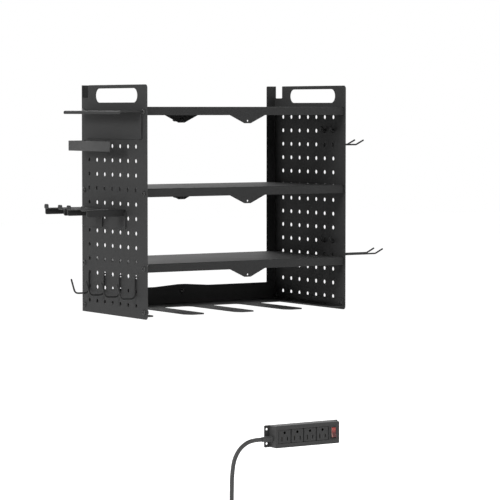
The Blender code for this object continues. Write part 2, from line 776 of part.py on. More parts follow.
def shelf_bolts():
    """A round headed bolt at each place, through the panel into the shelf's press nut."""
    head = BOLT_HEAD_HEIGHT
    tip = -SEAT_GAP - PANEL_SHEET - SEAT_GAP - SHELF_SHEET - NUT_HEIGHT - BOLT_END
    dome = (BOLT_HEAD_RADIUS * BOLT_DOME_WIDTH_SHARE, head * BOLT_DOME_HEIGHT_SHARE)
    profile = [(0, head), dome, (BOLT_HEAD_RADIUS, 0), (BOLT_RADIUS, 0), (BOLT_RADIUS, tip), (0, tip)]
    for shelf, z in zip(("top", "upper", "lower", "drill"), bolt_heights()):
        for place, y in zip(("front", "rear"), bolt_depths()):
            for side, side_name in ((LEFT, "left"), (RIGHT, "right")):
                start = (side * RIGHT_FACE_X, y, z)
                bolt = turned(profile, BOLT_SIDES, start, (side, 0, 0))
                finish(bolt, f"{shelf}_shelf_bolt_{side_name}_{place}", black_steel(), start)


def wood_screw(start, radius, head_radius, head, under_head, bite, name):
    """A pan head screw whose shank passes its sheet and bites into the wall."""
    tip = -under_head - bite
    dome = (head_radius * SCREW_DOME_WIDTH_SHARE, head * SCREW_DOME_HEIGHT_SHARE)
    profile = [(0, head), dome, (head_radius, 0), (radius, 0), (radius, tip + WALL_SCREW_POINT)]
    profile += [(SCREW_POINT_RADIUS, tip), (0, tip)]
    finish(turned(profile, BOLT_SIDES, start, (0, -1, 0)), name, black_steel(), start)


def wall_screws():
    """One through the rear tab of each shelf, one through the drill shelf's upstand."""
    heights = [top - LIP_HEIGHT - TAB_DROP + TAB_HOLE_RISE for top in pan_tops()]
    heights.append(DRILL_SHELF_TOP_Z + UPSTAND_SCREW_RISE)
    stand = -SHELF_BACK_Y + SHELF_SHEET + SEAT_GAP
    head = (WALL_SCREW_RADIUS, WALL_SCREW_HEAD_RADIUS, WALL_SCREW_HEAD_HEIGHT)
    for name, height in zip(("top", "upper", "lower", "drill"), heights):
        wood_screw((0, -stand, height), *head, stand, WALL_SCREW_BITE, f"wall_screw_{name}")


def peg(side, y, z):
    """A peg from a holder's back plate through the panel, turned up behind it."""
    start = side * (RIGHT_FACE_X + HOLDER_SHEET / 2)
    behind = side * (HALF_WIDTH - PEG_REACH)
    corners = [(start, y, z), (behind, y, z), (behind, y, z + PEG_TURN_UP)]
    return tube(bent(corners, [PEG_BEND]), PEG_RADIUS, WIRE_RESOLUTION)


def screwdriver_rack():
    """A folded sheet: a back plate on the panel, a drilled ledge at its top and a small front lip."""
    rear = -DRIVER_RACK_REAR_MARGIN
    front = rear - DRIVER_RACK_LENGTH
    inner = LEFT_FACE_X
    outer = inner - DRIVER_RACK_REACH
    top = peg_row_z(0) + DRIVER_RACK_LIFT
    bottom = top - DRIVER_RACK_BACK
    under = top - HOLDER_SHEET
    past = CUT_OVERRUN
    block = box((outer, front, bottom), (inner, rear, top))
    hollow = box((outer + HOLDER_SHEET, front - past, bottom - past), (inner - HOLDER_SHEET, rear + past, under))
    lip_trim_high = (outer + HOLDER_SHEET + past, rear + past, under - DRIVER_RACK_LIP)
    lip_trim = box((outer - past, front - past, bottom - past), lip_trim_high)
    step = (DRIVER_RACK_LENGTH - 2 * DRIVER_END_MARGIN) / (DRIVER_HOLES - 1)
    x = inner - DRIVER_HOLE_OUT
    rings = [
        circle(x, front + DRIVER_END_MARGIN + step * k, DRIVER_HOLE_RADIUS, DRIVER_HOLE_SIDES)
        for k in range(DRIVER_HOLES)
    ]
    drills = plate(rings[0], rings[1:], under - past, top + past, LEVEL)
    pegs = [peg(LEFT, peg_column_y(column), peg_row_z(DRIVER_PEG_ROW)) for column in DRIVER_PEG_COLUMNS]
    rack = joined(cut(block, [hollow, lip_trim, drills]), pegs)
    finish(rack, "screwdriver_rack", powder_coat())


def plier_rack():
    """A flat bar held off the panel by two arms near its rear end, whose feet lie on the panel."""
    inner = LEFT_FACE_X
    outer = inner - PLIER_RACK_REACH
    sheet = HOLDER_SHEET
    first, last = (peg_column_y(column) for column in PLIER_PEG_COLUMNS)
    arm = first - PLIER_FOOT / 2
    rear = last + PLIER_FOOT / 2
    front = rear - PLIER_BAR_LENGTH
    outline = [(inner, arm), (outer + sheet, arm), (outer + sheet, front), (outer, front), (outer, rear)]
    outline += [(inner, rear)]
    outline += [(inner, rear - PLIER_FOOT), (inner - sheet, rear - PLIER_FOOT), (inner - sheet, rear - sheet)]
    outline += [(outer + sheet, rear - sheet), (outer + sheet, arm + sheet)]
    outline += [(inner - sheet, arm + sheet), (inner - sheet, arm + PLIER_FOOT), (inner, arm + PLIER_FOOT)]
    z = peg_row_z(PLIER_PEG_ROW)
    strip = plate(outline, [], z - PLIER_RACK_HEIGHT / 2, z + PLIER_RACK_HEIGHT / 2, LEVEL)
    finish(joined(strip, [peg(LEFT, y, z) for y in (first, last)]), "plier_rack", powder_coat())


def drill_fork(column, name):
    """A ledge with an open slot, a back plate on the panel, side skirts and turned up tips."""
    middle = (peg_column_y(column) + peg_column_y(column + 1)) / 2
    inner = LEFT_FACE_X
    outer = inner - FORK_REACH
    sheet = HOLDER_SHEET
    past = CUT_OVERRUN
    row_z = peg_row_z(FORK_PEG_ROW)
    top = row_z + FORK_LIFT
    bottom = top - FORK_BACK
    crest = top + FORK_TIP_RISE
    front, rear = middle - FORK_HALF_WIDTH, middle + FORK_HALF_WIDTH
    block = box((outer, front, bottom), (inner, rear, crest))
    above = box((outer + sheet, front - past, top), (inner + past, rear + past, crest + past))
    under_high = (inner - sheet, rear - sheet, top - sheet)
    under = box((outer - past, front + sheet, bottom - past), under_high)
    below_high = (inner - sheet, rear + past, top - FORK_SKIRT)
    below = box((outer - past, front - past, bottom - past), below_high)
    half_gap = FORK_GAP / 2
    slot_x = inner - FORK_ROOT - half_gap
    slot_ring = arc(slot_x, middle, half_gap, 90, -90, 2 * CORNER_STEPS)
    slot_ring += [(outer - past, middle - half_gap), (outer - past, middle + half_gap)]
    slot = plate(slot_ring, [], bottom - past, crest + past, LEVEL)
    fork = cut(block, [above, under, below, slot])
    pegs = [peg(LEFT, peg_column_y(k), row_z) for k in (column, column + 1)]
    finish(joined(fork, pegs), name, powder_coat())


def peg_hooks():
    """Bent wires: up behind the panel, down its face, then out and up in a bowl."""
    row = peg_row_z(HOOK_ROW)
    low = row - PEG_ROW_PITCH - HOOK_DIP
    face = -HALF_WIDTH - HOOK_STAND_OFF - HOOK_WIRE_RADIUS
    behind = -HALF_WIDTH + PEG_REACH
    line = [(behind, row + PEG_TURN_UP), (behind, row), (face, row), (face, low)]
    line += [(face - HOOK_BOTTOM_OUT, low), (face - HOOK_TIP_OUT, low + HOOK_DIP + HOOK_TIP_RISE)]
    radii = [HOOK_WIRE_BEND, HOOK_WIRE_BEND, HOOK_BOWL_BEND, HOOK_BOWL_BEND]
    for number, column in enumerate(HOOK_COLUMNS, 1):
        y = peg_column_y(column)
        wire = tube(bent([(x, y, z) for x, z in line], radii), HOOK_WIRE_RADIUS, WIRE_RESOLUTION)
        finish(wire, f"peg_hook_{number}", powder_coat())


def hammer_hook(row, length, name):
    """A plate pegged at two holes, with a prong turned up at its tip below each."""
    z = peg_row_z(row)
    peg_z = peg_row_z(row - 1)
    margin = HAMMER_PLATE_MARGIN
    first, last = (peg_column_y(column) for column in HAMMER_COLUMNS)
    high = (RIGHT_FACE_X + HOLDER_SHEET, last + margin, peg_z + margin)
    hook = box((RIGHT_FACE_X, first - margin, z - margin), high)
    root = RIGHT_FACE_X + HOLDER_SHEET / 2
    elbow = HALF_WIDTH + length
    for y in (first, last):
        corners = [(root, y, z), (elbow, y, z), (elbow + PRONG_TIP_OUT, y, z + PRONG_TIP_RISE)]
        prong = tube(bent(corners, [PRONG_BEND]), PRONG_RADIUS, WIRE_RESOLUTION)
        hook = joined(hook, [prong, peg(RIGHT, y, peg_z)])
    finish(hook, name, powder_coat())


def ear_places():
    across = STRIP_WIDTH / 2 - EAR_HOLE_INSET
    along = STRIP_LENGTH / 2 + EAR_LENGTH / 2
    return [(STRIP_X + a * along, STRIP_Z + b * across) for a, b in ((1, 1), (1, -1), (-1, 1), (-1, -1))]


def cover_screw_places():
    along = STRIP_LENGTH / 2 - COVER_WALL - COVER_SCREW_INSET
    down = STRIP_WIDTH / 2 - COVER_WALL - COVER_SCREW_INSET
    return [(STRIP_X - along, STRIP_Z + down), (STRIP_X + along, STRIP_Z - down)]


def strip_base():
    """Flat base whose ears carry two holes at each end, countersunk behind for the cover's screws."""
    u, v = STRIP_LENGTH / 2 + EAR_LENGTH, STRIP_WIDTH / 2
    outline = [(STRIP_X + a * u, STRIP_Z + b * v) for a, b in ((-1, -1), (1, -1), (1, 1), (-1, 1))]
    radius = around(EAR_HOLE_RADIUS, EAR_HOLE_SIDES)
    holes = [circle(x, z, radius, EAR_HOLE_SIDES) for x, z in ear_places()]
    base = plate(outline, holes, 0, BASE_SHEET, UPRIGHT_FRONT)
    bore = COVER_SCREW_RADIUS + SEAT_GAP
    mouth = COVER_SCREW_HEAD_RADIUS + SEAT_GAP
    flare = mouth + (mouth - bore) * CUT_OVERRUN / (BASE_SHEET / 2)
    profile = [(0, CUT_OVERRUN), (flare, CUT_OVERRUN), (bore, -BASE_SHEET / 2)]
    profile += [(bore, -BASE_SHEET - CUT_OVERRUN), (0, -BASE_SHEET - CUT_OVERRUN)]
    for x, z in cover_screw_places():
        base = cut(base, [turned(profile, BOLT_SIDES, (x, 0, z), (0, 1, 0))])
    finish(base, "strip_base", housing_plastic())


def strip_cover():
    """Box cover, open at the wall, with a long window for the outlets and one for the switch."""
    low = (STRIP_LEFT_X, STRIP_FACE_Y, STRIP_Z - STRIP_WIDTH / 2)
    high = (STRIP_RIGHT_X, COVER_BACK_Y, STRIP_Z + STRIP_WIDTH / 2)
    shell = bevelled(box(low, high), COVER_EDGE, 1)
    wall = COVER_WALL
    hollow_low = [edge + wall for edge in low]
    hollow = box(hollow_low, (high[0] - wall, high[1] + CUT_OVERRUN, high[2] - wall))
    near = STRIP_FACE_Y - CUT_OVERRUN
    far = STRIP_FACE_Y + wall + CUT_OVERRUN
    half = OUTLET_HEIGHT / 2
    outlets = box((OUTLETS_LEFT_X, near, STRIP_Z - half), (OUTLETS_RIGHT_X, far, STRIP_Z + half))
    half_x = SWITCH_BODY_WIDTH / 2 + SEAT_GAP
    half_z = SWITCH_BODY_HEIGHT / 2 + SEAT_GAP
    switch = box((SWITCH_X - half_x, near, STRIP_Z - half_z), (SWITCH_X + half_x, far, STRIP_Z + half_z))
    entry = around(BUSHING_NECK_RADIUS + SEAT_GAP, BUSHING_SIDES)
    outside = (STRIP_LEFT_X - CUT_OVERRUN, *CORD_EXIT[1:])
    inside = (STRIP_LEFT_X + wall + CUT_OVERRUN, *CORD_EXIT[1:])
    shell = cut(shell, [hollow, outlets, switch, rod(outside, inside, entry, BUSHING_SIDES)])
    pilot = COVER_SCREW_RADIUS + SEAT_GAP
    depth = COVER_BACK_Y - COVER_SCREW_LENGTH
    for x, z in cover_screw_places():
        boss = rod((x, COVER_BACK_Y, z), (x, STRIP_FACE_Y + wall / 2, z), COVER_BOSS_RADIUS, BOLT_SIDES)
        drill = rod((x, COVER_BACK_Y + CUT_OVERRUN, z), (x, depth, z), pilot, BOLT_SIDES)
        shell = cut(joined(shell, [boss]), [drill])
    finish(shell, "strip_cover", housing_plastic())


def cover_screws():
    """Countersunk screws from the back of the base into the cover's bosses."""
    tip = -BASE_SHEET - COVER_SCREW_LENGTH + SEAT_GAP
    profile = [(0, 0), (COVER_SCREW_HEAD_RADIUS, 0), (COVER_SCREW_RADIUS, -BASE_SHEET / 2)]
    profile += [(COVER_SCREW_RADIUS, tip), (0, tip)]
    for name, (x, z) in zip(("left", "right"), cover_screw_places()):
        start = (x, 0, z)
        finish(turned(profile, BOLT_SIDES, start, (0, 1, 0)), f"cover_screw_{name}", zinc(), start)


def ear_screws():
    """Two through the right ear; the holes of the left ear stay open."""
    stand = BASE_SHEET + SEAT_GAP
    head = (EAR_SCREW_RADIUS, EAR_SCREW_HEAD_RADIUS, EAR_SCREW_HEAD_HEIGHT)
    for name, (x, z) in zip(("upper", "lower"), ear_places()):
        wood_screw((x, -stand, z), *head, stand, EAR_SCREW_BITE, f"ear_screw_{name}")


def outlet_x(number):
    return OUTLETS_LEFT_X + OUTLET_PITCH * (number + 1 / 2)


def outlets():
    """Four inserts, each a cup open at the back with two blade slots and a ground hole."""
    half_x = (OUTLET_PITCH - OUTLET_GROOVE) / 2
    half_z = OUTLET_HEIGHT / 2 - SEAT_GAP
    wall = OUTLET_WALL
    near = OUTLET_FACE_Y - CUT_OVERRUN
    far = OUTLET_FACE_Y + wall + CUT_OVERRUN
    for number in range(OUTLET_COUNT):
        x = outlet_x(number)
        cup = box((x - half_x, OUTLET_FACE_Y, STRIP_Z - half_z), (x + half_x, OUTLET_BACK_Y, STRIP_Z + half_z))
        hollow_low = (x - half_x + wall, OUTLET_FACE_Y + wall, STRIP_Z - half_z + wall)
        hollow_high = (x + half_x - wall, OUTLET_BACK_Y + CUT_OVERRUN, STRIP_Z + half_z - wall)
        cuts = [box(hollow_low, hollow_high)]
        for side, length in ((LEFT, NEUTRAL_SLOT_LENGTH), (RIGHT, LIVE_SLOT_LENGTH)):
            slot_x = x + side * BLADE_SPACING / 2
            half = BLADE_SLOT_WIDTH / 2
            low = (slot_x - half, near, BLADE_Z - length / 2)
            cuts.append(box(low, (slot_x + half, far, BLADE_Z + length / 2)))
        cuts.append(rod((x, near, GROUND_Z), (x, far, GROUND_Z), GROUND_RADIUS, GROUND_SIDES))
        finish(cut(cup, cuts), f"outlet_{number + 1}", outlet_plastic())


def contact_bar(z, offset, name):
    """A bar along all four outlets with a pair of spring leaves standing up at each."""
    low = (OUTLETS_LEFT_X + BAR_END_MARGIN, BAR_FRONT_Y, z - BAR_HEIGHT / 2)
    high = (OUTLETS_RIGHT_X - BAR_END_MARGIN, BAR_FRONT_Y + BAR_SHEET, z + BAR_HEIGHT / 2)
    leaves = []
    for number in range(OUTLET_COUNT):
        for side in (LEFT, RIGHT):
            x = outlet_x(number) + offset + side * CLIP_OPENING / 2
            near, far = sorted((x, x + side * BAR_SHEET))
            leaf_low = (near, BAR_FRONT_Y - CLIP_RISE, z - CLIP_WIDTH / 2)
            leaves.append(box(leaf_low, (far, BAR_FRONT_Y + BAR_SHEET / 2, z + CLIP_WIDTH / 2)))
    finish(joined(box(low, high), leaves), name, contact_brass())


def switch_frame():
    """Bezel on the cover's face and a cup behind it, with a pin hole in each side wall."""
    x = SWITCH_X
    rim_y = SWITCH_FACE_Y - BEZEL_PROUD
    rim_low = (x - BEZEL_WIDTH / 2, rim_y, STRIP_Z - BEZEL_HEIGHT / 2)
    bezel = box(rim_low, (x + BEZEL_WIDTH / 2, SWITCH_FACE_Y, STRIP_Z + BEZEL_HEIGHT / 2))
    half_x, half_z = SWITCH_BODY_WIDTH / 2, SWITCH_BODY_HEIGHT / 2
    floor = SWITCH_FACE_Y + SWITCH_BODY_DEPTH
    cup = box((x - half_x, SWITCH_FACE_Y - BEZEL_PROUD / 2, STRIP_Z - half_z), (x + half_x, floor, STRIP_Z + half_z))
    wall = SWITCH_WALL
    hollow_low = (x - half_x + wall, rim_y - CUT_OVERRUN, STRIP_Z - half_z + wall)
    hollow = box(hollow_low, (x + half_x - wall, floor - wall, STRIP_Z + half_z - wall))
    reach = half_x + CUT_OVERRUN
    hole = around(ROCKER_PIN_HOLE, BOLT_SIDES)
    ends = [(x + side * reach, *ROCKER_AXIS[1:]) for side in (LEFT, RIGHT)]
    finish(cut(joined(bezel, [cup]), [hollow, rod(*ends, hole, BOLT_SIDES)]), "switch_frame", outlet_plastic())


def rocker():
    """A see-saw key with a shallow V face, on two short pins along X, tilted as it rests."""
    half = ROCKER_HEIGHT / 2
    crest = ROCKER_RISE + ROCKER_AXIS_SUNK
    valley = crest - half * math.tan(math.radians(ROCKER_WEDGE_DEG))
    waist = half * ROCKER_WAIST_SHARE
    keel = half * ROCKER_KEEL_SHARE
    heel = ROCKER_THICKNESS * ROCKER_HEEL_SHARE
    side = [(half, crest), (0, valley), (-half, crest), (-waist, -heel), (-keel, -ROCKER_THICKNESS)]
    side += [(keel, -ROCKER_THICKNESS), (waist, -heel)]
    outline = [(-out, up) for up, out in side]
    key = plate(outline, [], -ROCKER_WIDTH / 2, ROCKER_WIDTH / 2, UPRIGHT_SIDE)
    reach = SWITCH_BODY_WIDTH / 2 - SWITCH_WALL + ROCKER_PIN_END
    key = joined(key, [rod((-reach, 0, 0), (reach, 0, 0), ROCKER_PIN_RADIUS, BOLT_SIDES)])
    key.data.transform(Matrix.Rotation(math.radians(-ROCKER_REST_DEG), 4, "X"))
    key.data.transform(Matrix.Translation(ROCKER_AXIS))
    finish(key, "rocker", rocker_red(), ROCKER_AXIS)


def pilot_lamp():
    """A small lamp under the rocker, standing on the floor of the switch's cup."""
    floor = SWITCH_FACE_Y + SWITCH_BODY_DEPTH - SWITCH_WALL - SEAT_GAP
    start = (SWITCH_X, floor, STRIP_Z)
    finish(rod(start, (SWITCH_X, floor - LAMP_LENGTH, STRIP_Z), LAMP_RADIUS, LAMP_SIDES), "pilot_lamp", lamp_orange())


def cord_bushing():
    """A tapered sleeve on the cord, a flange outside the cover's end wall and a neck through it."""
    start = (STRIP_LEFT_X - SEAT_GAP, *CORD_EXIT[1:])
    inner_end = -SEAT_GAP - COVER_WALL - BUSHING_INSIDE
    profile = [(0, BUSHING_LENGTH), (BUSHING_TIP_RADIUS, BUSHING_LENGTH), (BUSHING_NECK_RADIUS, BUSHING_FLANGE)]
    profile += [(BUSHING_FLANGE_RADIUS, BUSHING_FLANGE), (BUSHING_FLANGE_RADIUS, 0)]
    profile += [(BUSHING_NECK_RADIUS, 0), (BUSHING_NECK_RADIUS, inner_end), (0, inner_end)]
    finish(turned(profile, BUSHING_SIDES, start, (-1, 0, 0)), "cord_bushing", cord_rubber(), start)


def leads():
    """Leads from the bushing: ground and neutral to the ends of their bars, hot to the switch."""
    apart = 2 * LEAD_RADIUS + SEAT_GAP
    start_x = STRIP_LEFT_X + COVER_WALL + BUSHING_INSIDE + SEAT_GAP
    knee_x = start_x + 2 * LEAD_RADIUS
    turn_x = OUTLETS_LEFT_X + BAR_END_MARGIN + apart
    end_x = turn_x + BAR_HEIGHT
    seat = BAR_FRONT_Y + BAR_SHEET + SEAT_GAP + LEAD_RADIUS
    deep = COVER_BACK_Y - LEAD_RADIUS - SEAT_GAP
    floor = SWITCH_FACE_Y + SWITCH_BODY_DEPTH + SEAT_GAP + LEAD_RADIUS
    neutral_z = BLADE_Z + BAR_STEP
    hot_z = BLADE_Z - BAR_HEIGHT - apart
    runs = {
        "neutral_lead": [(turn_x, seat, neutral_z), (end_x, seat, neutral_z)],
        "ground_lead": [(turn_x, seat, GROUND_Z), (end_x, seat, GROUND_Z)],
        "hot_lead": [(turn_x, deep, hot_z), (OUTLETS_RIGHT_X, deep, hot_z), (SWITCH_X, floor, hot_z)],
    }
    shifts = {"neutral_lead": 0, "ground_lead": apart, "hot_lead": -apart}
    colours = {"neutral_lead": (0.75, 0.75, 0.72), "ground_lead": (0.05, 0.35, 0.1), "hot_lead": (0.03, 0.03, 0.03)}
    for name, run in runs.items():
        z = CORD_EXIT[2] + shifts[name]
        corners = [(start_x, seat, z), (knee_x, seat, z), *run]
        wire = tube(bent(corners, [LEAD_BEND] * (len(corners) - 2)), LEAD_RADIUS, CORD_RESOLUTION)
        finish(wire, name, lead_plastic(name, colours[name]))


def mix(first, last, start, end, at):
    return (first * (end - at) + last * (at - start)) / (end - start)


def smooth(route):
    """A centripetal curve through the chosen points, read densely."""
    route = [Vector(point) for point in route]
    ends = (route[0] * 2 - route[1], route[-1] * 2 - route[-2])
    corners = [ends[0], *route, ends[1]]
    dense = []
    for a, b, c, d in zip(corners, corners[1:], corners[2:], corners[3:]):
        t1 = math.sqrt((b - a).length)
        t2 = t1 + math.sqrt((c - b).length)
        t3 = t2 + math.sqrt((d - c).length)
        for step in range(ROUTE_FINENESS):
            t = t1 + (t2 - t1) * step / ROUTE_FINENESS
            ab, bc, cd = mix(a, b, 0, t1, t), mix(b, c, t1, t2, t), mix(c, d, t2, t3, t)
            dense.append(mix(mix(ab, bc, 0, t2, t), mix(bc, cd, t1, t3, t), t1, t2, t))
    return [*dense, route[-1]]


def evenly(points, steps):
    """The same line, read at even steps along its length."""
    lengths = [0]
    for first, second in zip(points, points[1:]):
        lengths.append(lengths[-1] + (second - first).length)
    made = []
    k = 0
    for step in range(steps + 1):
        want = lengths[-1] * step / steps
        while k < len(points) - 2 and lengths[k + 1] < want:
            k += 1
        made.append(mix(points[k], points[k + 1], lengths[k], lengths[k + 1], want))
    return made


def length_of(points):
    return sum((second - first).length for first, second in zip(points, points[1:]))


def coil_way(turn):
    angle = math.radians(COIL_START_DEG) + turn
    return Vector((-math.sin(angle), 0, math.cos(angle)))


def coil_out(turn):
    angle = math.radians(COIL_START_DEG) + turn
    return Vector((math.cos(angle), 0, math.sin(angle)))


def coil_middle():
    """Set so that the coil's straight start meets the end of the free stretch."""
    end = Vector(CORD_EXIT) + Vector(LEAD_ROUTE[-1])
    return end + coil_way(0) * (SEAT_GAP + CORD_DIAMETER) - coil_out(0) * COIL_OUTER_RADIUS


def coil_path():
    """Two layers: spiral in, climb over the half turn where the spiral turns back, spiral out."""
    middle = coil_middle()
    towards_room = Vector((0, -1, 0))
    turned_back = math.tau * COIL_TURNS_A_LAYER
    steps = 2 * COIL_TURNS_A_LAYER * COIL_POINTS_A_TURN
    points = []
    for step in range(steps + 1):
        turn = 2 * turned_back * step / steps
        inward = min(turn, 2 * turned_back - turn)
        climb = min(1, max(0, (turn - turned_back) / math.pi + 1 / 2))
        radius = COIL_OUTER_RADIUS - COIL_PITCH * inward / math.tau
        points.append(middle + coil_out(turn) * radius + towards_room * COIL_PITCH * climb)
    tail = math.radians(COIL_TAIL_DEG)
    tail_steps = round(COIL_POINTS_A_TURN * tail / math.tau)
    for step in range(1, tail_steps + 1):
        share = step / tail_steps
        ease = share * share * (3 - 2 * share)
        rise = COIL_PITCH + COIL_TAIL_RISE * ease
        points.append(middle + coil_out(tail * share) * COIL_OUTER_RADIUS + towards_room * rise)
    first = points[0] - coil_way(0) * CORD_DIAMETER
    return [first, *points, points[-1] + coil_way(tail) * CORD_DIAMETER]


def least_gap(points):
    """Smallest clear distance between stretches of the cord that aren't neighbours."""
    skip = COIL_POINTS_A_TURN // 2
    pairs = ((a, b) for k, a in enumerate(points) for b in points[k + skip :])
    return min((a - b).length for a, b in pairs) - CORD_DIAMETER


def cord():
    """The free stretch, the coil, the tie round it and the plug on its end."""
    start = Vector(CORD_EXIT)
    free = evenly(smooth([start + Vector(step) for step in LEAD_ROUTE]), LEAD_STEPS)
    finish(tube(free, CORD_RADIUS, WIRE_RESOLUTION), "cord_lead", cord_rubber())
    path = coil_path()
    finish(tube(path, CORD_RADIUS, CORD_RESOLUTION), "cord_coil", cord_rubber())
    print("cord length, m", round(length_of(free) + length_of(path), 4))
    print("coil gap to itself, mm", round(least_gap(path) * 1000, 3))
    coil_tie()
    way = coil_way(math.radians(COIL_TAIL_DEG))
    cord_plug(path[-1] + way * SEAT_GAP, way)


def coil_tie():
    """A strap round all the turns at one place: a flat band with an opening for the bundle."""
    half_u = COIL_PITCH * (COIL_TURNS_A_LAYER + 1 / 2) / 2 + TIE_EASE
    half_v = COIL_PITCH / 2 + CORD_RADIUS + TIE_EASE
    inner = rounded_box_ring(half_u, half_v, CORD_RADIUS, CORNER_STEPS)
    thick = TIE_THICKNESS
    outer = rounded_box_ring(half_u + thick, half_v + thick, CORD_RADIUS + thick, CORNER_STEPS)
    band = plate(outer, [inner], -TIE_WIDTH / 2, TIE_WIDTH / 2, LEVEL)
    turn = math.radians(TIE_TURN_DEG)
    place = coil_middle() + coil_out(turn) * COIL_MEAN_RADIUS + Vector((0, -COIL_PITCH / 2, 0))
    angle = math.radians(COIL_START_DEG) + turn
    band.data.transform(Matrix.Translation(place) @ Matrix.Rotation(-angle, 4, "Y"))
    finish(band, "coil_tie", tie_nylon())


def cord_plug(start, way):
    """Moulded plug: a neck on the cord, a grip, two blades and a ground pin."""
    front = PLUG_NECK_LENGTH + PLUG_LENGTH
    tip = front + PLUG_BLADE_LENGTH
    root = front - PLUG_EDGE
    low = (-PLUG_WIDTH / 2, -PLUG_THICKNESS / 2, PLUG_NECK_LENGTH)
    grip = bevelled(box(low, (PLUG_WIDTH / 2, PLUG_THICKNESS / 2, front)), PLUG_EDGE, 2)
    neck = rod((0, 0, 0), (0, 0, PLUG_NECK_LENGTH + PLUG_EDGE), CORD_RADIUS, BUSHING_SIDES, PLUG_NECK_RADIUS)
    pieces = [neck]
    for side in (LEFT, RIGHT):
        x = side * BLADE_SPACING / 2
        blade_low = (x - PLUG_BLADE_SHEET / 2, -PLUG_BLADE_DROP - PLUG_BLADE_WIDTH / 2, root)
        blade_high = (x + PLUG_BLADE_SHEET / 2, -PLUG_BLADE_DROP + PLUG_BLADE_WIDTH / 2, tip)
        pieces.append(box(blade_low, blade_high))
    pin_y = GROUND_ABOVE_BLADES - PLUG_BLADE_DROP
    pieces.append(rod((0, pin_y, root), (0, pin_y, tip), PLUG_PIN_RADIUS, GROUND_SIDES))
    plug = joined(grip, pieces)
    turn = way.to_track_quat("Z", "Y").to_matrix().to_4x4()
    plug.data.transform(Matrix.Translation(start) @ turn)
    finish(plug, "cord_plug", cord_rubber(), start)


def rack():
    side_panel(LEFT, "side_panel_left")
    side_panel(RIGHT, "side_panel_right")
    for name, top in zip(("top_shelf", "upper_shelf", "lower_shelf"), pan_tops()):
        pan_shelf(top, name)
    drill_shelf()
    shelf_bolts()
    wall_screws()


def holders():
    screwdriver_rack()
    plier_rack()
    drill_fork(FORK_COLUMNS[0], "drill_fork_front")
    drill_fork(FORK_COLUMNS[1], "drill_fork_rear")
    peg_hooks()
    hammer_hook(UPPER_HAMMER_ROW, UPPER_PRONG_LENGTH, "hammer_hook_upper")
    hammer_hook(LOWER_HAMMER_ROW, LOWER_PRONG_LENGTH, "hammer_hook_lower")


def power_strip():
    strip_base()
    strip_cover()
    cover_screws()
    ear_screws()
    outlets()
    contact_bar(BLADE_Z - BAR_STEP, BLADE_SPACING / 2, "hot_bar")
    contact_bar(BLADE_Z + BAR_STEP, -BLADE_SPACING / 2, "neutral_bar")
    contact_bar(GROUND_Z, 0, "ground_bar")
    switch_frame()
    rocker()
    pilot_lamp()
    cord_bushing()
    leads()


rack()
holders()
power_strip()
cord()
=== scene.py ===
# %% [markdown]
# # A wall rack for power tools, with its power strip
# The rack is folded sheet steel under a black powder coat: two perforated sides, three trays and a
# comb shelf. Small holders hook into the side holes, and a power strip hangs on the same wall.
# The solids come ready placed. This lesson dresses them: every sheet gets its bends and rounded cut
# edges, every screw its recess, and every surface a finish made of nodes.

import math
from collections import namedtuple
from itertools import product

import bpy
import numpy as np
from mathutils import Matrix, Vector
from mathutils.geometry import delaunay_2d_cdt


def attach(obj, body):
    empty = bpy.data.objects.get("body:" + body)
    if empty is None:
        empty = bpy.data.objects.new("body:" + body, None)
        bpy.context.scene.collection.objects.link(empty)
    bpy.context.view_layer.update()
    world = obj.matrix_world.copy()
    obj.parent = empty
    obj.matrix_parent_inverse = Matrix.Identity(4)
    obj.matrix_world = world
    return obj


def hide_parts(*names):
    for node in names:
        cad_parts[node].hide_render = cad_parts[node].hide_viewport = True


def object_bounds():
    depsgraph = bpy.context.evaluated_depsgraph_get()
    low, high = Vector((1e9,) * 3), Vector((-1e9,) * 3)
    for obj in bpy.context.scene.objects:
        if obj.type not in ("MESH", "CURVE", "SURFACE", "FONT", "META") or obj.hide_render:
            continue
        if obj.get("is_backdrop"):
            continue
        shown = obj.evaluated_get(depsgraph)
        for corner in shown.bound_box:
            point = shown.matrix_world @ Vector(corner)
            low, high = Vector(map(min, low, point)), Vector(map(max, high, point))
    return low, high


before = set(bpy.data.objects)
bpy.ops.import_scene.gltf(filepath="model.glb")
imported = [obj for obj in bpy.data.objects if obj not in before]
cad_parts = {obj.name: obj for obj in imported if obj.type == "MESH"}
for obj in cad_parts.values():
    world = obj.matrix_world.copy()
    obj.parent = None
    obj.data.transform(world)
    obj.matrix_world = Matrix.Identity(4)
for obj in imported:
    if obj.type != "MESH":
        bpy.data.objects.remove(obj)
cad_low, cad_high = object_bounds()

# %% [markdown]
# ## The camera
# The picture was taken from far off with a long lens, from the left and slightly above, so that
# lines hardly converge. A real camera position, found from the rack's own corners, gives the same
# view, and the lens is a little over 177 mm on a 36 mm sensor.

# %% Camera
VIEW_PLACE = (-2.373, -3.9395, 0.021)
VIEW_YAW_DEG = -32.67
VIEW_PITCH_DEG = -3.27
VIEW_LENS_MM = 177.7

camera_data = bpy.data.cameras.new("view")
camera_data.lens = VIEW_LENS_MM
camera_data.sensor_width = 36
camera_data.clip_end = 60
camera = bpy.data.objects.new("view", camera_data)
camera.location = VIEW_PLACE
camera.rotation_euler = (math.radians(90 + VIEW_PITCH_DEG), 0, math.radians(VIEW_YAW_DEG))
bpy.context.scene.collection.objects.link(camera)
bpy.context.scene.camera = camera
bpy.context.scene.view_settings.view_transform = "Standard"
print("camera at", VIEW_PLACE)

# %% [markdown]
# ## Shader sums written as sums
# A node tree is a list of small calculations. They could be linked one by one, but then nobody can
# read the sum. A class that wraps a socket and knows + - * lets us write them as Python
# expressions, also when a number comes first, as in 1 - mask. Every operator adds one Math node.

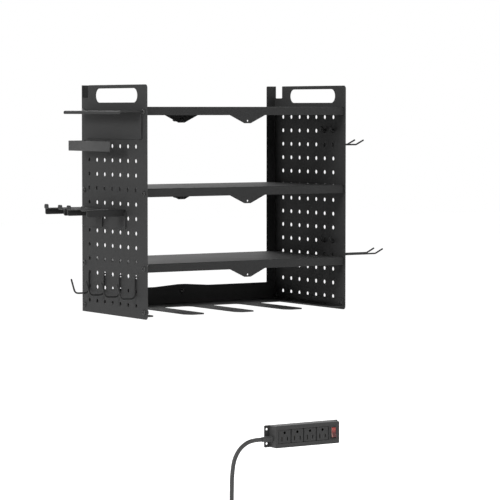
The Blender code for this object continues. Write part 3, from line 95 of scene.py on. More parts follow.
# %% Nodes as expressions
class Value:
    """A socket of a node that can stand in sums."""

    def __init__(self, paint, socket):
        self.paint, self.socket = paint, socket

    def sum(self, operation, *terms):
        """One Math node, with the two terms in the order in which they were written."""
        return self.paint.node("ShaderNodeMath", {"operation": operation}, dict(enumerate(terms)))

    def __add__(self, other):
        return self.sum("ADD", self, other)

    def __sub__(self, other):
        return self.sum("SUBTRACT", self, other)

    def __rsub__(self, other):
        return self.sum("SUBTRACT", other, self)

    def __mul__(self, other):
        return self.sum("MULTIPLY", self, other)

    __radd__, __rmul__ = __add__, __mul__


print("sockets know + - *")

# %% [markdown]
# ## A finish
# Any other node comes from one method, `node`, which sets the node's settings first and its sockets
# after them. Below it stand the few nodes that every finish here shares. Noise is measured on the
# object itself, in metres, so no picture has to be wrapped round the pieces.

# %% Paint
class Paint:
    """A finish: one material or world, and the nodes that vary it over the surface."""

    def __init__(self, owner):
        owner.use_nodes = True
        self.owner, self.tree = owner, owner.node_tree

    def join(self, value, socket):
        """A link if the value comes from a node, or else the socket's own number."""
        if isinstance(value, Value):
            self.tree.links.new(value.socket, socket)
        else:
            socket.default_value = value

    def node(self, kind, settings=None, sockets=None, out=0):
        """A node of a type, its settings first, then the values or links of its sockets."""
        made = self.tree.nodes.new(kind)
        for name, value in (settings or {}).items():
            setattr(made, name, value)
        for key, value in (sockets or {}).items():
            self.join(value, made.inputs[key])
        return Value(self, made.outputs[out])

    def noise(self, scale, detail=2.0, roughness=0.5, stretch=None):
        """Cloudy numbers around 0.5, so many per metre of the object."""
        place = self.node("ShaderNodeTexCoord", out="Object")
        if stretch:
            place = self.node("ShaderNodeMapping", None, {"Vector": place, "Scale": stretch})
        sockets = {"Vector": place, "Scale": scale, "Detail": detail, "Roughness": roughness}
        return self.node("ShaderNodeTexNoise", None, sockets)

    def clamped(self, value, low, high):
        """0 below low, 1 above high and straight between them."""
        sockets = {"Value": value, "From Min": low, "From Max": high}
        return self.node("ShaderNodeMapRange", {"clamp": True}, sockets)

    def blend(self, mask, first, second):
        """One colour where the mask is 0, the other where it is 1."""
        sockets = {0: mask, 6: first, 7: second}
        return self.node("ShaderNodeMix", {"data_type": "RGBA"}, sockets, out=2)

    def edge(self):
        """The mark that a new piece carries along its cut edges."""
        return self.node("ShaderNodeAttribute", {"attribute_name": "edge"}, out="Fac")

    def feed(self, **values):
        """Send constants or what varies to the shader's sockets, with underscores for spaces."""
        for name, value in values.items():
            self.join(value, self.tree.nodes["Principled BSDF"].inputs[name.replace("_", " ")])


def finish_of(name, **constants):
    """A new material that keeps its name as export slot, with constants for its shader."""
    paint = Paint(bpy.data.materials.new(name))
    paint.owner["slot"] = name
    paint.feed(**constants)
    return paint


def grey(level, warm=0.0):
    """A grey whose red is raised, and whose blue is lowered, by the same share."""
    return (level * (1 + warm), level, level * (1 - warm), 1)


def finished(paint, colour, roughness, height, depth, strength):
    """The material, with its colour, its roughness and a bump of this depth in metres."""
    sockets = {"Strength": strength, "Distance": depth, "Height": height}
    bump = paint.node("ShaderNodeBump", None, sockets)
    paint.feed(Base_Color=colour, Roughness=roughness, Normal=bump)
    return paint.owner


print("paint ready")

# %% [markdown]
# ## Powder coat
# Powder is sprayed on dry and baked until it flows. It stays slightly lumpy, like the skin of an
# orange, with lumps about a millimetre wide, and a finer sparkle on top. It pulls thin over cut
# edges, which rub lighter and smoother with use; their lighter colour is also a painted highlight
# along them. A picture of a coat would repeat over so large a rack; noise never does, and a slow
# cloud of it changes the sheen from place to place.

# %% Powder coat
def powder_coat():
    """Edge mark times cloud: lighter and smoother, worn coat plus a painted highlight; peel and
    cloud mottle the rest.
    """
    paint = finish_of("powder_coat_black", Specular_IOR_Level=0.13)
    cloud = paint.noise(14, 3, 0.6)
    peel = paint.noise(620, 2, 0.55)
    sparkle = paint.noise(2600, 1)
    # lighter edges: partly real wear of the coat, partly a painted highlight along the cut edges
    worn = paint.clamped(paint.edge() * (0.55 + cloud * 0.9), 0.55, 1.25)
    mottle = paint.clamped(peel + cloud * 0.5, 0.55, 1.0)
    # the pale grey on the edges stands for worn coat and a painted highlight together
    colour = paint.blend(worn, paint.blend(mottle, grey(0.0335), grey(0.0435, -0.01)), grey(0.085))
    roughness = 0.44 + cloud * 0.16 + sparkle * 0.08 - worn * 0.14
    return finished(paint, colour, roughness, peel * 0.75 + sparkle * 0.25, 0.00022, 0.55)


POWDER = powder_coat()
print("made", POWDER.name)

# %% [markdown]
# ## Steel screws and brass
# Zinc plate is pale and faintly blue, with a satin grain from tumbling in barrels. The shelf bolts
# are blackened instead: an oil-dark skin through which the steel shows on rubbed rims. The contact
# bars inside the strip are rolled brass. What tells metals apart is where they are rough, so each
# gets a grain of its own rather than one flat value.

# %% Metals
def zinc_plate():
    """The cloud mixes two pale greys; cloud and grain add to the roughness."""
    paint = finish_of("zinc_steel", Metallic=1.0)
    cloud, grain = paint.noise(160, 3, 0.6), paint.noise(2400, 2)
    patchy = paint.clamped(cloud, 0.35, 0.65)
    colour = paint.blend(patchy, (0.40, 0.42, 0.45, 1), (0.56, 0.57, 0.58, 1))
    return finished(paint, colour, 0.26 + cloud * 0.16 + grain * 0.08, grain, 0.00004, 0.5)


def black_steel():
    """Nearly black, and paler where the edge mark times the cloud passes a half."""
    paint = finish_of("black_steel", Metallic=0.85)
    cloud, grain = paint.noise(210, 2), paint.noise(2600, 2)
    worn = paint.clamped(paint.edge() * (0.4 + cloud), 0.5, 1.2)
    colour = paint.blend(worn, grey(0.035), grey(0.22))
    return finished(paint, colour, 0.34 + cloud * 0.14, grain, 0.00004, 0.4)


def rolled_brass():
    """Noise stretched along x draws the lines of the rolls, and a cloud stains the colour."""
    paint = finish_of("contact_brass", Metallic=1.0)
    stain, rolled = paint.noise(140, 3), paint.noise(900, 1, 0.5, (0.05, 1, 1))
    stained = paint.clamped(stain, 0.4, 0.7)
    colour = paint.blend(stained, (0.20, 0.13, 0.05, 1), (0.12, 0.07, 0.03, 1))
    return finished(paint, colour, 0.24 + rolled * 0.18, rolled, 0.00003, 0.4)


ZINC, BLACK_STEEL, BRASS = zinc_plate(), black_steel(), rolled_brass()
print("made", ZINC.name, BLACK_STEEL.name, BRASS.name)

# %% [markdown]
# ## Moulded plastics
# A mould is spark eroded, so its plastic comes out with a fine even grain that scatters light. One
# function makes both blacks: the housing has a coarser grain and looks greyer than the outlets. The
# cord is soft vinyl, smoother along its length, so its noise is drawn out along the cord. The
# rocker is red plastic with a polished face.

# %% Plastics
def grained_plastic(name, low, high, grain_size, depth, sheen):
    """A black plastic: a spark eroded grain and a slow cloud of handling marks."""
    paint = finish_of(name, Specular_IOR_Level=0.3)
    cloud, grain = paint.noise(22, 3, 0.6), paint.noise(grain_size, 2, 0.6)
    rubbed = paint.clamped(paint.edge() * (0.5 + cloud), 0.6, 1.3)
    body = paint.blend(paint.clamped(grain * 0.6 + cloud * 0.4, 0.3, 0.7), grey(low), grey(high))
    colour = paint.blend(rubbed, body, grey(high * 1.5))
    return finished(paint, colour, sheen + cloud * 0.12 - rubbed * 0.1, grain, depth, 0.6)


def cord_vinyl():
    """Noise stretched along the cord's own map makes lines; a cloud dulls it in places."""
    paint = finish_of("cord_black")
    cloud = paint.noise(30, 2)
    place = paint.node("ShaderNodeUVMap", {"uv_map": "along"})
    drawn = paint.node("ShaderNodeMapping", None, {"Vector": place, "Scale": (14, 60, 1)})
    lines = paint.node("ShaderNodeTexNoise", None, {"Vector": drawn, "Scale": 1.0, "Detail": 2.0})
    colour = paint.blend(paint.clamped(cloud, 0.35, 0.65), grey(0.040), grey(0.055))
    return finished(paint, colour, 0.46 + lines * 0.16 + cloud * 0.08, lines, 0.00010, 0.5)


# heights between which the key's red goes from its painted light top into painted shade, and the
# key's left rim, where a highlight is painted
ROCKER_SHADE_TOP, ROCKER_SHADE_LOW, ROCKER_LEFT = -0.598, -0.606, 0.3249


def rocker_red():
    """Painted shade darkens the red below the key's top, shaken by the cloud; its left rim gets a
    painted highlight.
    """
    paint = finish_of("rocker_red", Coat_Weight=0.3, Coat_Roughness=0.12)
    cloud, flow = paint.noise(90, 2), paint.noise(700, 1)
    place = paint.node("ShaderNodeTexCoord", out="Object")
    sockets = {"Vector": place}
    across, height = (paint.node("ShaderNodeSeparateXYZ", None, sockets, out=axis) for axis in "XZ")
    # painted shade: the red darkens below the key's top, as light and shade fall on it
    deep = paint.clamped(height + cloud * 0.001, ROCKER_SHADE_TOP, ROCKER_SHADE_LOW)
    body = paint.blend(deep, (0.44, 0.018, 0.005, 1), (0.10, 0.004, 0.005, 1))
    # painted highlight: a pale reflection along the key's left rim
    painted_rim_highlight = paint.clamped(across, ROCKER_LEFT + 0.0012, ROCKER_LEFT + 0.0006) * 0.6
    colour = paint.blend(painted_rim_highlight, body, (0.80, 0.45, 0.38, 1))
    return finished(paint, colour, 0.16 + flow * 0.1, flow, 0.00002, 0.3)


def plain_plastic(name, colour, roughness=0.4):
    """The cloud mixes the colour with four fifths of itself."""
    paint = finish_of(name)
    cloud, grain = paint.noise(120, 2), paint.noise(1800, 1)
    dark = tuple(0.8 * part for part in colour) + (1,)
    body = paint.blend(paint.clamped(cloud, 0.3, 0.7), dark, (*colour, 1))
    return finished(paint, body, roughness + grain * 0.1, grain, 0.00003, 0.4)


HOUSING = grained_plastic("housing_black", 0.040, 0.052, 1500, 0.00012, 0.50)
OUTLET = grained_plastic("outlet_black", 0.034, 0.043, 2100, 0.00006, 0.42)
CORD = cord_vinyl()
RED = rocker_red()
LAMP = plain_plastic("lamp_orange", (0.85, 0.24, 0.05), 0.15)
TIE = plain_plastic("tie_black", (0.022, 0.022, 0.022), 0.5)
LEADS = {
    "neutral_lead": plain_plastic("neutral_lead", (0.72, 0.72, 0.69)),
    "ground_lead": plain_plastic("ground_lead", (0.05, 0.35, 0.10)),
    "hot_lead": plain_plastic("hot_lead", (0.03, 0.03, 0.03)),
}
print("made", HOUSING.name, OUTLET.name, CORD.name, RED.name)

# %% [markdown]
# ## Surfaces as arrays
# A surface is a grid of points: so many rows, and so many points around each row. Blender's mesh
# editor could add them face by face, but numpy numbers the corners of every cell at once. A Shell
# keeps the points, the faces, and a mark from 0 to 1 for how much of a cut edge each point is,
# which the finishes read.

# %% Shells
def unit(vectors):
    """Vectors divided by their lengths."""
    return vectors / np.linalg.norm(vectors, axis=-1, keepdims=True)


def quads(rows, columns):
    """Corner numbers of each cell of a grid that closes on itself around every row."""
    row, column = np.arange(rows - 1)[:, None], np.arange(columns)[None, :]
    after = (column + 1) % columns
    below, above = row * columns, (row + 1) * columns
    cells = np.stack((below + column, below + after, above + after, above + column), -1)
    return cells.reshape(-1, 4)


class Shell:
    """Points, four-sided faces, three-sided faces and an edge mark at every point."""

    def __init__(self, points, fours=(), threes=(), edge=None):
        self.points = np.asarray(points, float).reshape(-1, 3)
        self.fours = np.asarray(fours, int).reshape(-1, 4)
        self.threes = np.asarray(threes, int).reshape(-1, 3)
        self.edge = np.zeros(len(self.points)) if edge is None else np.asarray(edge, float)

    def __add__(self, other):
        """Both shells as one: the second's face numbers go up by the first's number of points."""
        step = len(self.points)
        pairs = (
            (self.points, other.points),
            (self.fours, other.fours + step),
            (self.threes, other.threes + step),
            (self.edge, other.edge),
        )
        return Shell(*map(np.concatenate, pairs))

    def placed(self, turn, shift=(0, 0, 0)):
        """Every point turned by a matrix and shifted; a mirroring turn also flips the faces."""
        turn = np.asarray(turn, float)
        way = 1 if np.linalg.det(turn) > 0 else -1
        points = self.points @ turn.T + np.asarray(shift, float)
        return Shell(points, self.fours[:, ::way], self.threes[:, ::way], self.edge)


def grid(points, edge=None, capped=True):
    """A surface closed around its rows, with a fan of triangles over each end."""
    rows, columns = points.shape[:2]
    first = rows * columns
    numbers = np.arange(columns)
    after = (numbers + 1) % columns
    low = np.stack((np.full(columns, first), after, numbers), -1)
    top = first - columns
    high = np.stack((np.full(columns, first + 1), numbers + top, after + top), -1)
    marks = np.zeros(rows) if edge is None else edge
    marks = np.concatenate((np.repeat(marks, columns), [0, 0]))
    points = np.vstack((points.reshape(-1, 3), points[0].mean(0), points[-1].mean(0)))
    return Shell(points, quads(rows, columns), np.vstack((low, high)) if capped else (), marks)


# How a flat shape's u, v and w lie in the world
FROM_SIDE = ((0, 0, 1), (1, 0, 0), (0, 1, 0))  # as y, z, x
FROM_FRONT = ((1, 0, 0), (0, 0, -1), (0, 1, 0))  # as x, z, -y
FROM_ABOVE = ((1, 0, 0), (0, 1, 0), (0, 0, 1))  # as x, y, z
print("shells ready")

# %% [markdown]
# ## Outlines
# Steel is cut along outlines with round corners. They could be drawn as Bezier curves, but corners
# with a radius are what a drawing states. An arc in a corner starts and ends where a circle of its
# radius touches both edges.

# %% Rings
def arcs(before, corner, after, radius, steps):
    """The circle that touches both edges of each corner, from one touching point to the other."""
    back, on = unit(before - corner), unit(after - corner)
    half = np.arccos(np.clip((back * on).sum(-1), -1, 1))[:, None] / 2
    centre = corner + unit(back + on) * radius / np.sin(half)
    first = corner + back * radius / np.tan(half) - centre
    last = corner + on * radius / np.tan(half) - centre
    sweep = (math.pi - 2 * half)[:, None]
    share = np.linspace(0, 1, steps + 1)[None, :, None]
    arm = first[:, None] * np.sin((1 - share) * sweep) + last[:, None] * np.sin(share * sweep)
    return centre[:, None] + arm / np.sin(sweep)


def rounded(corners, radii=0.0, steps=5):
    """A closed outline with an arc at each corner; a radius of 0 keeps the corner sharp."""
    corner = np.asarray(corners, float)
    radius = np.broadcast_to(np.asarray(radii, float), len(corner))[:, None]
    made = arcs(np.roll(corner, 1, 0), corner, np.roll(corner, -1, 0), radius, steps)
    made = made.reshape(-1, corner.shape[1])
    return made[np.linalg.norm(made - np.roll(made, 1, 0), axis=1) > 1e-7]


def traced(corners, steps):
    """An outline from (u, v, radius) corners."""
    ring = np.array(corners)
    return rounded(ring[:, :2], ring[:, 2], steps)


def bent(corners, radii, steps=6):
    """An open line with an arc at each inner corner."""
    corner = np.asarray(corners, float)
    radius = np.broadcast_to(np.asarray(radii, float), len(corner) - 2)[:, None]
    inner = arcs(corner[:-2], corner[1:-1], corner[2:], radius, steps).reshape(-1, corner.shape[1])
    return np.vstack((corner[:1], inner, corner[-1:]))


def disc(u, v, radius, sides=24):
    """Points at even angles round a middle, the first half a step on."""
    turn = math.tau * (np.arange(sides) + 0.5) / sides
    return np.column_stack((u + radius * np.cos(turn), v + radius * np.sin(turn)))


def oblong(low, high, radius, steps=5):
    """The rectangle between two corners, with round corners of its own."""
    (a, b), (c, d) = low, high
    return rounded(((a, b), (c, b), (c, d), (a, d)), radius, steps)


def area(ring):
    """Half the sum of neighbouring points' cross products: above 0 when the ring turns left."""
    after = np.roll(ring, -1, 0)
    return 0.5 * float((ring[:, 0] * after[:, 1] - after[:, 0] * ring[:, 1]).sum())


def mitre(ring):
    """At each corner, the step out of the material that moves both of its edges by one."""
    along = unit(np.roll(ring, -1, 0) - ring)
    out = np.column_stack((along[:, 1], -along[:, 0]))
    both = out + np.roll(out, 1, 0)
    return both / (0.5 * (both**2).sum(1, keepdims=True))


print("a disc has", len(disc(0, 0, 1)), "sides")

# %% [markdown]
# ## Sheets: where they are cut and folded
# A real holder is cut from flat steel and folded on a press, and the code does the same. A cut edge
# is a quarter circle at each face. A fold needs points across its arc, so every outline gets one
# wherever it crosses a crease.

# %% Rims and creases
RIM_STEPS = 2
FOLD_STEPS = 6
Fold = namedtuple("Fold", "axis at degrees radius way low high", defaults=(1, -9, 9))


def rim(half, edge, steps=RIM_STEPS):
    """Rows (inset, height) of a cut edge from face to face: a quarter circle at each."""
    turn = np.linspace(0, math.pi / 2, steps + 1)
    low = np.column_stack((edge * (1 - np.sin(turn)), edge * (1 - np.cos(turn)) - half))
    return np.vstack((low, low[::-1] * (1, -1)))


def creases(folds):
    """The lines (axis, value, low, high) of every fold, at even steps over its arc."""
    lines = []
    for fold in folds:
        arc = fold.way * fold.radius * math.radians(abs(fold.degrees))
        shares = np.linspace(0, 1, FOLD_STEPS + 1)
        lines += [(fold.axis, fold.at + arc * share, fold.low, fold.high) for share in shares]
    return lines


def crossed(ring, lines):
    """The ring with a point added wherever an edge crosses one of the lines."""
    after = np.roll(ring, -1, 0)
    places, points = [np.arange(len(ring))], [ring]
    for axis, value, low, high in lines:
        run = after[:, axis] - ring[:, axis]
        share = (value - ring[:, axis]) / np.where(run == 0, 1e-30, run)
        other = ring[:, 1 - axis] + (after - ring)[:, 1 - axis] * np.clip(share, 0, 1)
        hit = np.flatnonzero((share > 1e-6) & (share < 1 - 1e-6) & (other > low) & (other < high))
        places.append(hit + share[hit])
        points.append(ring[hit] + (after - ring)[hit] * share[hit, None])
    return np.concatenate(points)[np.argsort(np.concatenate(places), kind="stable")]


print("a rim has", len(rim(1, 0.1)), "rows")

# %% [markdown]
# ## Sheets: their faces
# A face with many holes could be one large polygon per side, or be cut out with Boolean modifiers,
# but both shade badly and won't bend. A Delaunay fill gives triangles that keep to every rim and
# crease; the even-odd rule then drops those that lie in a hole.

# %% Filled faces
def inside(points, rings):
    """Even-odd rule: a point is inside when a ray from it crosses the rings an odd count."""
    odd = np.zeros(len(points), bool)
    for ring in rings:
        after = np.roll(ring, -1, 0)
        level = points[:, 1:2]
        spans = (ring[:, 1] > level) != (after[:, 1] > level)
        run = after[:, 1] - ring[:, 1]
        share = (level - ring[:, 1]) / np.where(run == 0, 1e-30, run)
        odd ^= (spans & (points[:, :1] < ring[:, 0] + share * (after - ring)[:, 0])).sum(1) % 2 == 1
    return odd


def filled(rings, lines):
    """Triangles over the material between the rings, with an edge along every line."""
    points = np.vstack(rings)
    starts = np.cumsum([0] + [len(ring) for ring in rings])
    edges = [
        np.column_stack((np.arange(len(ring)), (np.arange(len(ring)) + 1) % len(ring))) + start
        for ring, start in zip(rings, starts)
    ]
    for axis, value, low, high in lines:
        other = points[:, 1 - axis]
        near = np.abs(points[:, axis] - value) < 1e-7
        on = np.flatnonzero(near & (other > low) & (other < high))
        on = on[np.argsort(points[on, 1 - axis])]
        pairs = np.column_stack((on[:-1], on[1:]))
        edges.append(pairs[inside(points[pairs].mean(1), rings)])
    flat = [Vector(point) for point in (points * 1000).tolist()]
    made = delaunay_2d_cdt(flat, np.vstack(edges).tolist(), [], 0, 1e-6)
    origin = np.array([numbers[0] for numbers in made[3]])
    threes = origin[np.array(made[2])]
    corners = points[threes]
    side = corners[:, 1:] - corners[:, :1]
    turn = side[:, 0, 0] * side[:, 1, 1] - side[:, 0, 1] * side[:, 1, 0]
    threes = np.where((turn > 0)[:, None], threes, threes[:, ::-1])
    return threes[inside(corners.mean(1), rings) & (np.abs(turn) > 1e-13)]


square = np.array(((0, 0), (1, 0), (1, 1), (0, 1)))
print("a square is filled by", len(filled([square], [])), "triangles")

# %% [markdown]
# ## Sheets: folded
# A fold rolls everything beyond a line round a cylinder: a point at distance d past the line turns
# by d over the neutral radius, and beyond the arc the rest swings rigidly. A Simple Deform modifier
# bends whole pieces only; this formula bends one flange and keeps the length of the steel.

# %% Folded sheets
def folded(points, flat, fold):
    """Roll what lies beyond the line of a fold round a cylinder, up (+) or down (-)."""
    axis, at, degrees, radius, way, low, high = fold
    side, angle = math.copysign(1, degrees), math.radians(abs(degrees))
    beyond, other = way * (flat[:, axis] - at), flat[:, 1 - axis]
    moves = (beyond > 0) & (other > low) & (other < high)
    turn = np.clip(beyond / radius, 0, angle)
    rest = np.where(beyond > radius * angle, way * (points[:, axis] - at) - radius * angle, 0)
    lift = points[:, 2] * side
    out = (radius - lift) * np.sin(turn) + rest * np.cos(turn)
    rise = radius - (radius - lift) * np.cos(turn) + rest * np.sin(turn)
    points[:, axis] = np.where(moves, at + way * out, points[:, axis])
    points[:, 2] = np.where(moves, side * rise, points[:, 2])


def sheet(outline, holes, rows, hole_rows=None, folds=()):
    """Each ring inset row by row makes its rim; the first and last rows bound the two faces."""
    lines, start = creases(folds), 0
    flat, heights, fours, marks, low, high, lower, upper = ([] for _ in range(8))
    for number, ring in enumerate((outline, *holes)):
        ring = ring if (area(ring) > 0) == (number == 0) else ring[::-1]
        ring = crossed(np.asarray(ring, float), lines)
        row = rows if number == 0 or hole_rows is None else hole_rows
        block = ring[None] - mitre(ring)[None] * row[:, :1, None]
        count = len(ring)
        flat.append(block.reshape(-1, 2))
        heights.append(np.repeat(row[:, 1], count))
        marks.append(np.repeat(np.clip(1 - row[:, 0] / max(row[-1, 0], 1e-9), 0, 1), count))
        fours.append(quads(len(row), count) + start)
        low.append(block[0])
        high.append(block[-1])
        lower.append(np.arange(count) + start)
        upper.append(lower[-1] + (len(row) - 1) * count)
        start += len(row) * count
    top = np.concatenate(upper)[filled(high, lines)]
    bottom = np.concatenate(lower)[filled(low, lines)]
    flat = np.vstack(flat)
    points = np.column_stack((flat, np.concatenate(heights)))
    for fold in folds:
        folded(points, flat, fold)
    return Shell(points, np.vstack(fours), np.vstack((top, bottom[:, ::-1])), np.concatenate(marks))


def pressed(outer, flange, half, bend):
    """Where on the flat sheet a bend starts and its flange ends, from their places once folded."""
    at = outer - bend - half
    return at, at + bend * math.pi / 2 + flange - half - bend


print("a 20 mm flange starts", pressed(0, 0.020, 0.00075, 0.0016)[0], "m from the wall")

# %% [markdown]
# ## Turned and drawn shapes
# A screw head is a profile turned about its axis. A wire is a circle carried along a line. A curve
# object with a bevel would do it too, but it can't round its free ends: here rings that shrink on a
# quarter circle do. Each ring stands square to the line, on two arms found from the line's
# direction and the way to the wall, which no wire here follows.

# %% Lathe, stack and tube
def around(radius, height, edge=None):
    """Rows turned about the axis of w, with a radius for every angle of every row."""
    turn = math.tau * np.arange(radius.shape[1]) / radius.shape[1]
    points = (radius * np.cos(turn), radius * np.sin(turn), np.broadcast_to(height, radius.shape))
    return grid(np.stack(points, -1), edge)


def lathe(profile, sides=24):
    """(radius, height) pairs, from the bottom up, turned about the axis of w."""
    radius, height = np.asarray(profile, float).T[..., None]
    return around(radius * np.ones(sides), height)


def stack(ring, rows):
    """Copies of one outline, each inset and lifted by its own amount, joined into a block."""
    flat = ring[None] - mitre(ring)[None] * rows[:, :1, None]
    return grid(np.dstack((flat, np.broadcast_to(rows[:, 1:2], flat.shape[:2]))))


def soft(radius, steps=3):
    """Rows (inset, rise) of a rounded end of a block, from its face down to its full width."""
    turn = np.linspace(0, math.pi / 2, steps + 1)
    return np.column_stack((radius * (1 - np.sin(turn)), radius * (1 - np.cos(turn))))


def far_edge(radius, face, steps=3):
    """The rows of soft the other way round, so that they end on a face at a height."""
    return soft(radius, steps)[::-1] * (1, -1) + (0, face)


def tube(path, radius, sides=14, round_ends=True):
    """A circle carried along a line, on two arms square to its direction."""
    path = np.array(path, float)
    sizes = np.full(len(path), radius)
    if round_ends:
        turn = np.radians((12, 35, 62))
        step, size = radius * (1 - np.cos(turn)), radius * np.sin(turn)
        head, foot = unit(path[1] - path[0]), unit(path[-2] - path[-1])
        start = path[0] + head * step[:, None]
        end = (path[-1] + foot * step[:, None])[::-1]
        path[0], path[-1] = path[0] + head * radius, path[-1] + foot * radius
        path = np.vstack((start, path, end))
        sizes = np.concatenate((size, np.full(len(sizes), radius), size[::-1]))
    way = unit(np.gradient(path, axis=0))
    first = unit(np.cross((0.0, 1.0, 0.0), way))
    second = np.cross(way, first)
    turn = math.tau * np.arange(sides) / sides
    arms = first[:, None] * np.cos(turn)[:, None] + second[:, None] * np.sin(turn)[:, None]
    return grid(path[:, None] + arms * sizes[:, None, None])


def joined(shells):
    """The sum of some shells."""
    first, *others = shells
    return sum(others, first)


print("lathe, stack and tube ready")

# %% [markdown]
# ## Pieces
# `piece` puts a shell into a mesh, shades it smooth with sharp creases, lets large flat faces rule
# the shading (weighted normals), so that a flat sheet looks flat right up to its round rim, gives
# it a finish, ties it to its body and hides the solids it stands for.

# %% Making a piece
SHARP_DEG = 50


def piece(name, shell, paint, replaces=(), body="rack", smooth_all=False):
    """A mesh object from a shell; creases sharper than SHARP_DEG stay sharp unless smooth_all."""
    mesh = bpy.data.meshes.new(name)
    mesh.from_pydata(shell.points.tolist(), [], shell.fours.tolist() + shell.threes.tolist())
    mesh.attributes.new("edge", "FLOAT", "POINT").data.foreach_set("value", shell.edge)
    mesh.shade_smooth()
    if not smooth_all:
        mesh.set_sharp_from_angle(angle=math.radians(SHARP_DEG))
    mesh.materials.append(paint)
    made = bpy.data.objects.new(name, mesh)
    bpy.context.scene.collection.objects.link(made)
    if not smooth_all:
        weighted = made.modifiers.new("flat faces rule", "WEIGHTED_NORMAL")
        weighted.keep_sharp = True
    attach(made, body)
    if replaces:
        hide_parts(*replaces)
    return made


print("piece ready")

# %% [markdown]
# ## Where the cord hangs
# The strip's cord leaves through a tapered sleeve, runs a little along the wall and drops under its
# own weight. A simulated rope would hang truly but not where the picture shows it; a smooth curve
# through chosen points does. A centripetal curve makes no loops where its points lie close.

# %% Where the cord hangs
SEAT_GAP = 0.0003
STRIP_X, STRIP_Z = 0.270, -0.605
STRIP_LENGTH, STRIP_WIDTH, STRIP_DEPTH = 0.148, 0.0427, 0.0243
CORD_DIAMETER = 0.0083
CORD_RADIUS = CORD_DIAMETER / 2
SLEEVE_LENGTH = 0.022
CORD_FROM_WALL, CORD_BELOW_MIDDLE = 0.010, 0.004
SLEEVE_TIP_X = STRIP_X - STRIP_LENGTH / 2 - 2 * SEAT_GAP - SLEEVE_LENGTH
CORD_EXIT = np.array((SLEEVE_TIP_X, -CORD_FROM_WALL, STRIP_Z - CORD_BELOW_MIDDLE))
LEAD_ROUTE = (
    ((0, 0, 0), (-0.0150, 0, -0.0003), (-0.0320, 0.0002, -0.0036), (-0.0490, 0.0006, -0.0150))
    + ((-0.0605, 0.0012, -0.0340), (-0.0652, 0.0020, -0.0620), (-0.0658, 0.0028, -0.0920))
    + ((-0.0662, 0.0036, -0.1220), (-0.0689, 0.0044, -0.1430), (-0.0745, 0.0048, -0.1570))
    + ((-0.0804, 0.0048, -0.1629),)
)
LEAD_STEPS = 38


def through(route, fineness=40):
    """A centripetal curve through the points: knots spaced by the square root of each distance."""
    route = np.asarray(route, float)
    route = np.vstack((2 * route[0] - route[1], route, 2 * route[-1] - route[-2]))
    knot = np.sqrt(np.linalg.norm(np.diff(route, axis=0), axis=1))
    a, b, c, d = (route[k : len(route) - 3 + k, None] for k in range(4))
    t1 = knot[:-2, None, None]
    t2 = t1 + knot[1:-1, None, None]
    t3 = t2 + knot[2:, None, None]
    t = t1 + (t2 - t1) * (np.arange(fineness) / fineness)[None, :, None]
    ab, bc = a + (b - a) * t / t1, b + (c - b) * (t - t1) / (t2 - t1)
    cd = c + (d - c) * (t - t2) / (t3 - t2)
    first = ab + (bc - ab) * t / t2
    second = bc + (cd - bc) * (t - t1) / (t3 - t1)
    dense = first + (second - first) * (t - t1) / (t2 - t1)
    return np.vstack((dense.reshape(-1, 3), route[-2:-1]))


def run_of(line):
    """How far along a line each of its points lies."""
    return np.concatenate(([0], np.cumsum(np.linalg.norm(np.diff(line, axis=0), axis=1))))


def evenly(line, steps):
    """The same line read at even steps along its length."""
    run = run_of(line)
    want = np.linspace(0, run[-1], steps + 1)
    return np.stack([np.interp(want, run, line[:, k]) for k in range(3)], -1)


lead_line = evenly(through(CORD_EXIT + np.array(LEAD_ROUTE)), LEAD_STEPS)
print("free stretch", round(float(run_of(lead_line)[-1]), 4), "m long")

# %% [markdown]
# ## The coil
# The spare length is wound into a coil. Its line spirals in for three turns, climbs one layer, and
# spirals out again over the first, so one formula for the radius and one for the layer make it
# all, and no turn touches the next.

# %% Coil
COIL_TURNS, COIL_PITCH, COIL_MEAN_RADIUS = 3, 0.0089, 0.0457
COIL_START, COIL_TAIL = math.radians(135.0), math.radians(55.0)
COIL_TAIL_RISE = 0.0170
COIL_OUTER_RADIUS = COIL_MEAN_RADIUS + COIL_PITCH * COIL_TURNS / 2
TO_ROOM = np.array((0.0, -1.0, 0.0))


def coil_out(turn):
    """Away from the coil's middle."""
    angle = COIL_START + turn
    return np.stack((np.cos(angle), 0 * angle, np.sin(angle)), -1)


def coil_way(turn):
    """Along the cord, a quarter turn on from the way out."""
    return coil_out(turn + math.pi / 2)


coil_start = lead_line[-1] + coil_way(0) * (SEAT_GAP + CORD_DIAMETER)
coil_middle = coil_start - coil_out(0) * COIL_OUTER_RADIUS


def coil_line(points_a_turn=36):
    """Radius falls by one pitch a turn, then grows again a layer higher; a tail lifts off."""
    back = math.tau * COIL_TURNS
    turn = np.linspace(0, 2 * back, 2 * COIL_TURNS * points_a_turn + 1)
    inward = np.minimum(turn, 2 * back - turn)
    climb = np.clip((turn - back) / math.pi + 0.5, 0, 1)
    radius = COIL_OUTER_RADIUS - COIL_PITCH * inward / math.tau
    turns = coil_middle + coil_out(turn) * radius[:, None] + TO_ROOM * (COIL_PITCH * climb)[:, None]
    share = np.linspace(0, 1, 7)[1:]
    rise = COIL_PITCH + COIL_TAIL_RISE * share * share * (3 - 2 * share)
    tail = coil_middle + coil_out(COIL_TAIL * share) * COIL_OUTER_RADIUS + TO_ROOM * rise[:, None]
    end = tail[-1:] + coil_way(COIL_TAIL) * CORD_DIAMETER
    return np.vstack((turns[:1] - coil_way(0) * CORD_DIAMETER, turns, tail, end))


cord_line = np.vstack((lead_line, coil_line()))

# %% [markdown]
# ## The cord itself
# The cord's shell is one tube. Noise measured in space would run across it in the coil, so it gets
# a map of its own that runs along it and round it, and the drawn lines follow every turn.

# %% Cord
CORD_SIDES = 16
cord_shell = tube(cord_line, CORD_RADIUS, CORD_SIDES, round_ends=False)
cord_piece = piece("power_cord", cord_shell, CORD, smooth_all=True)


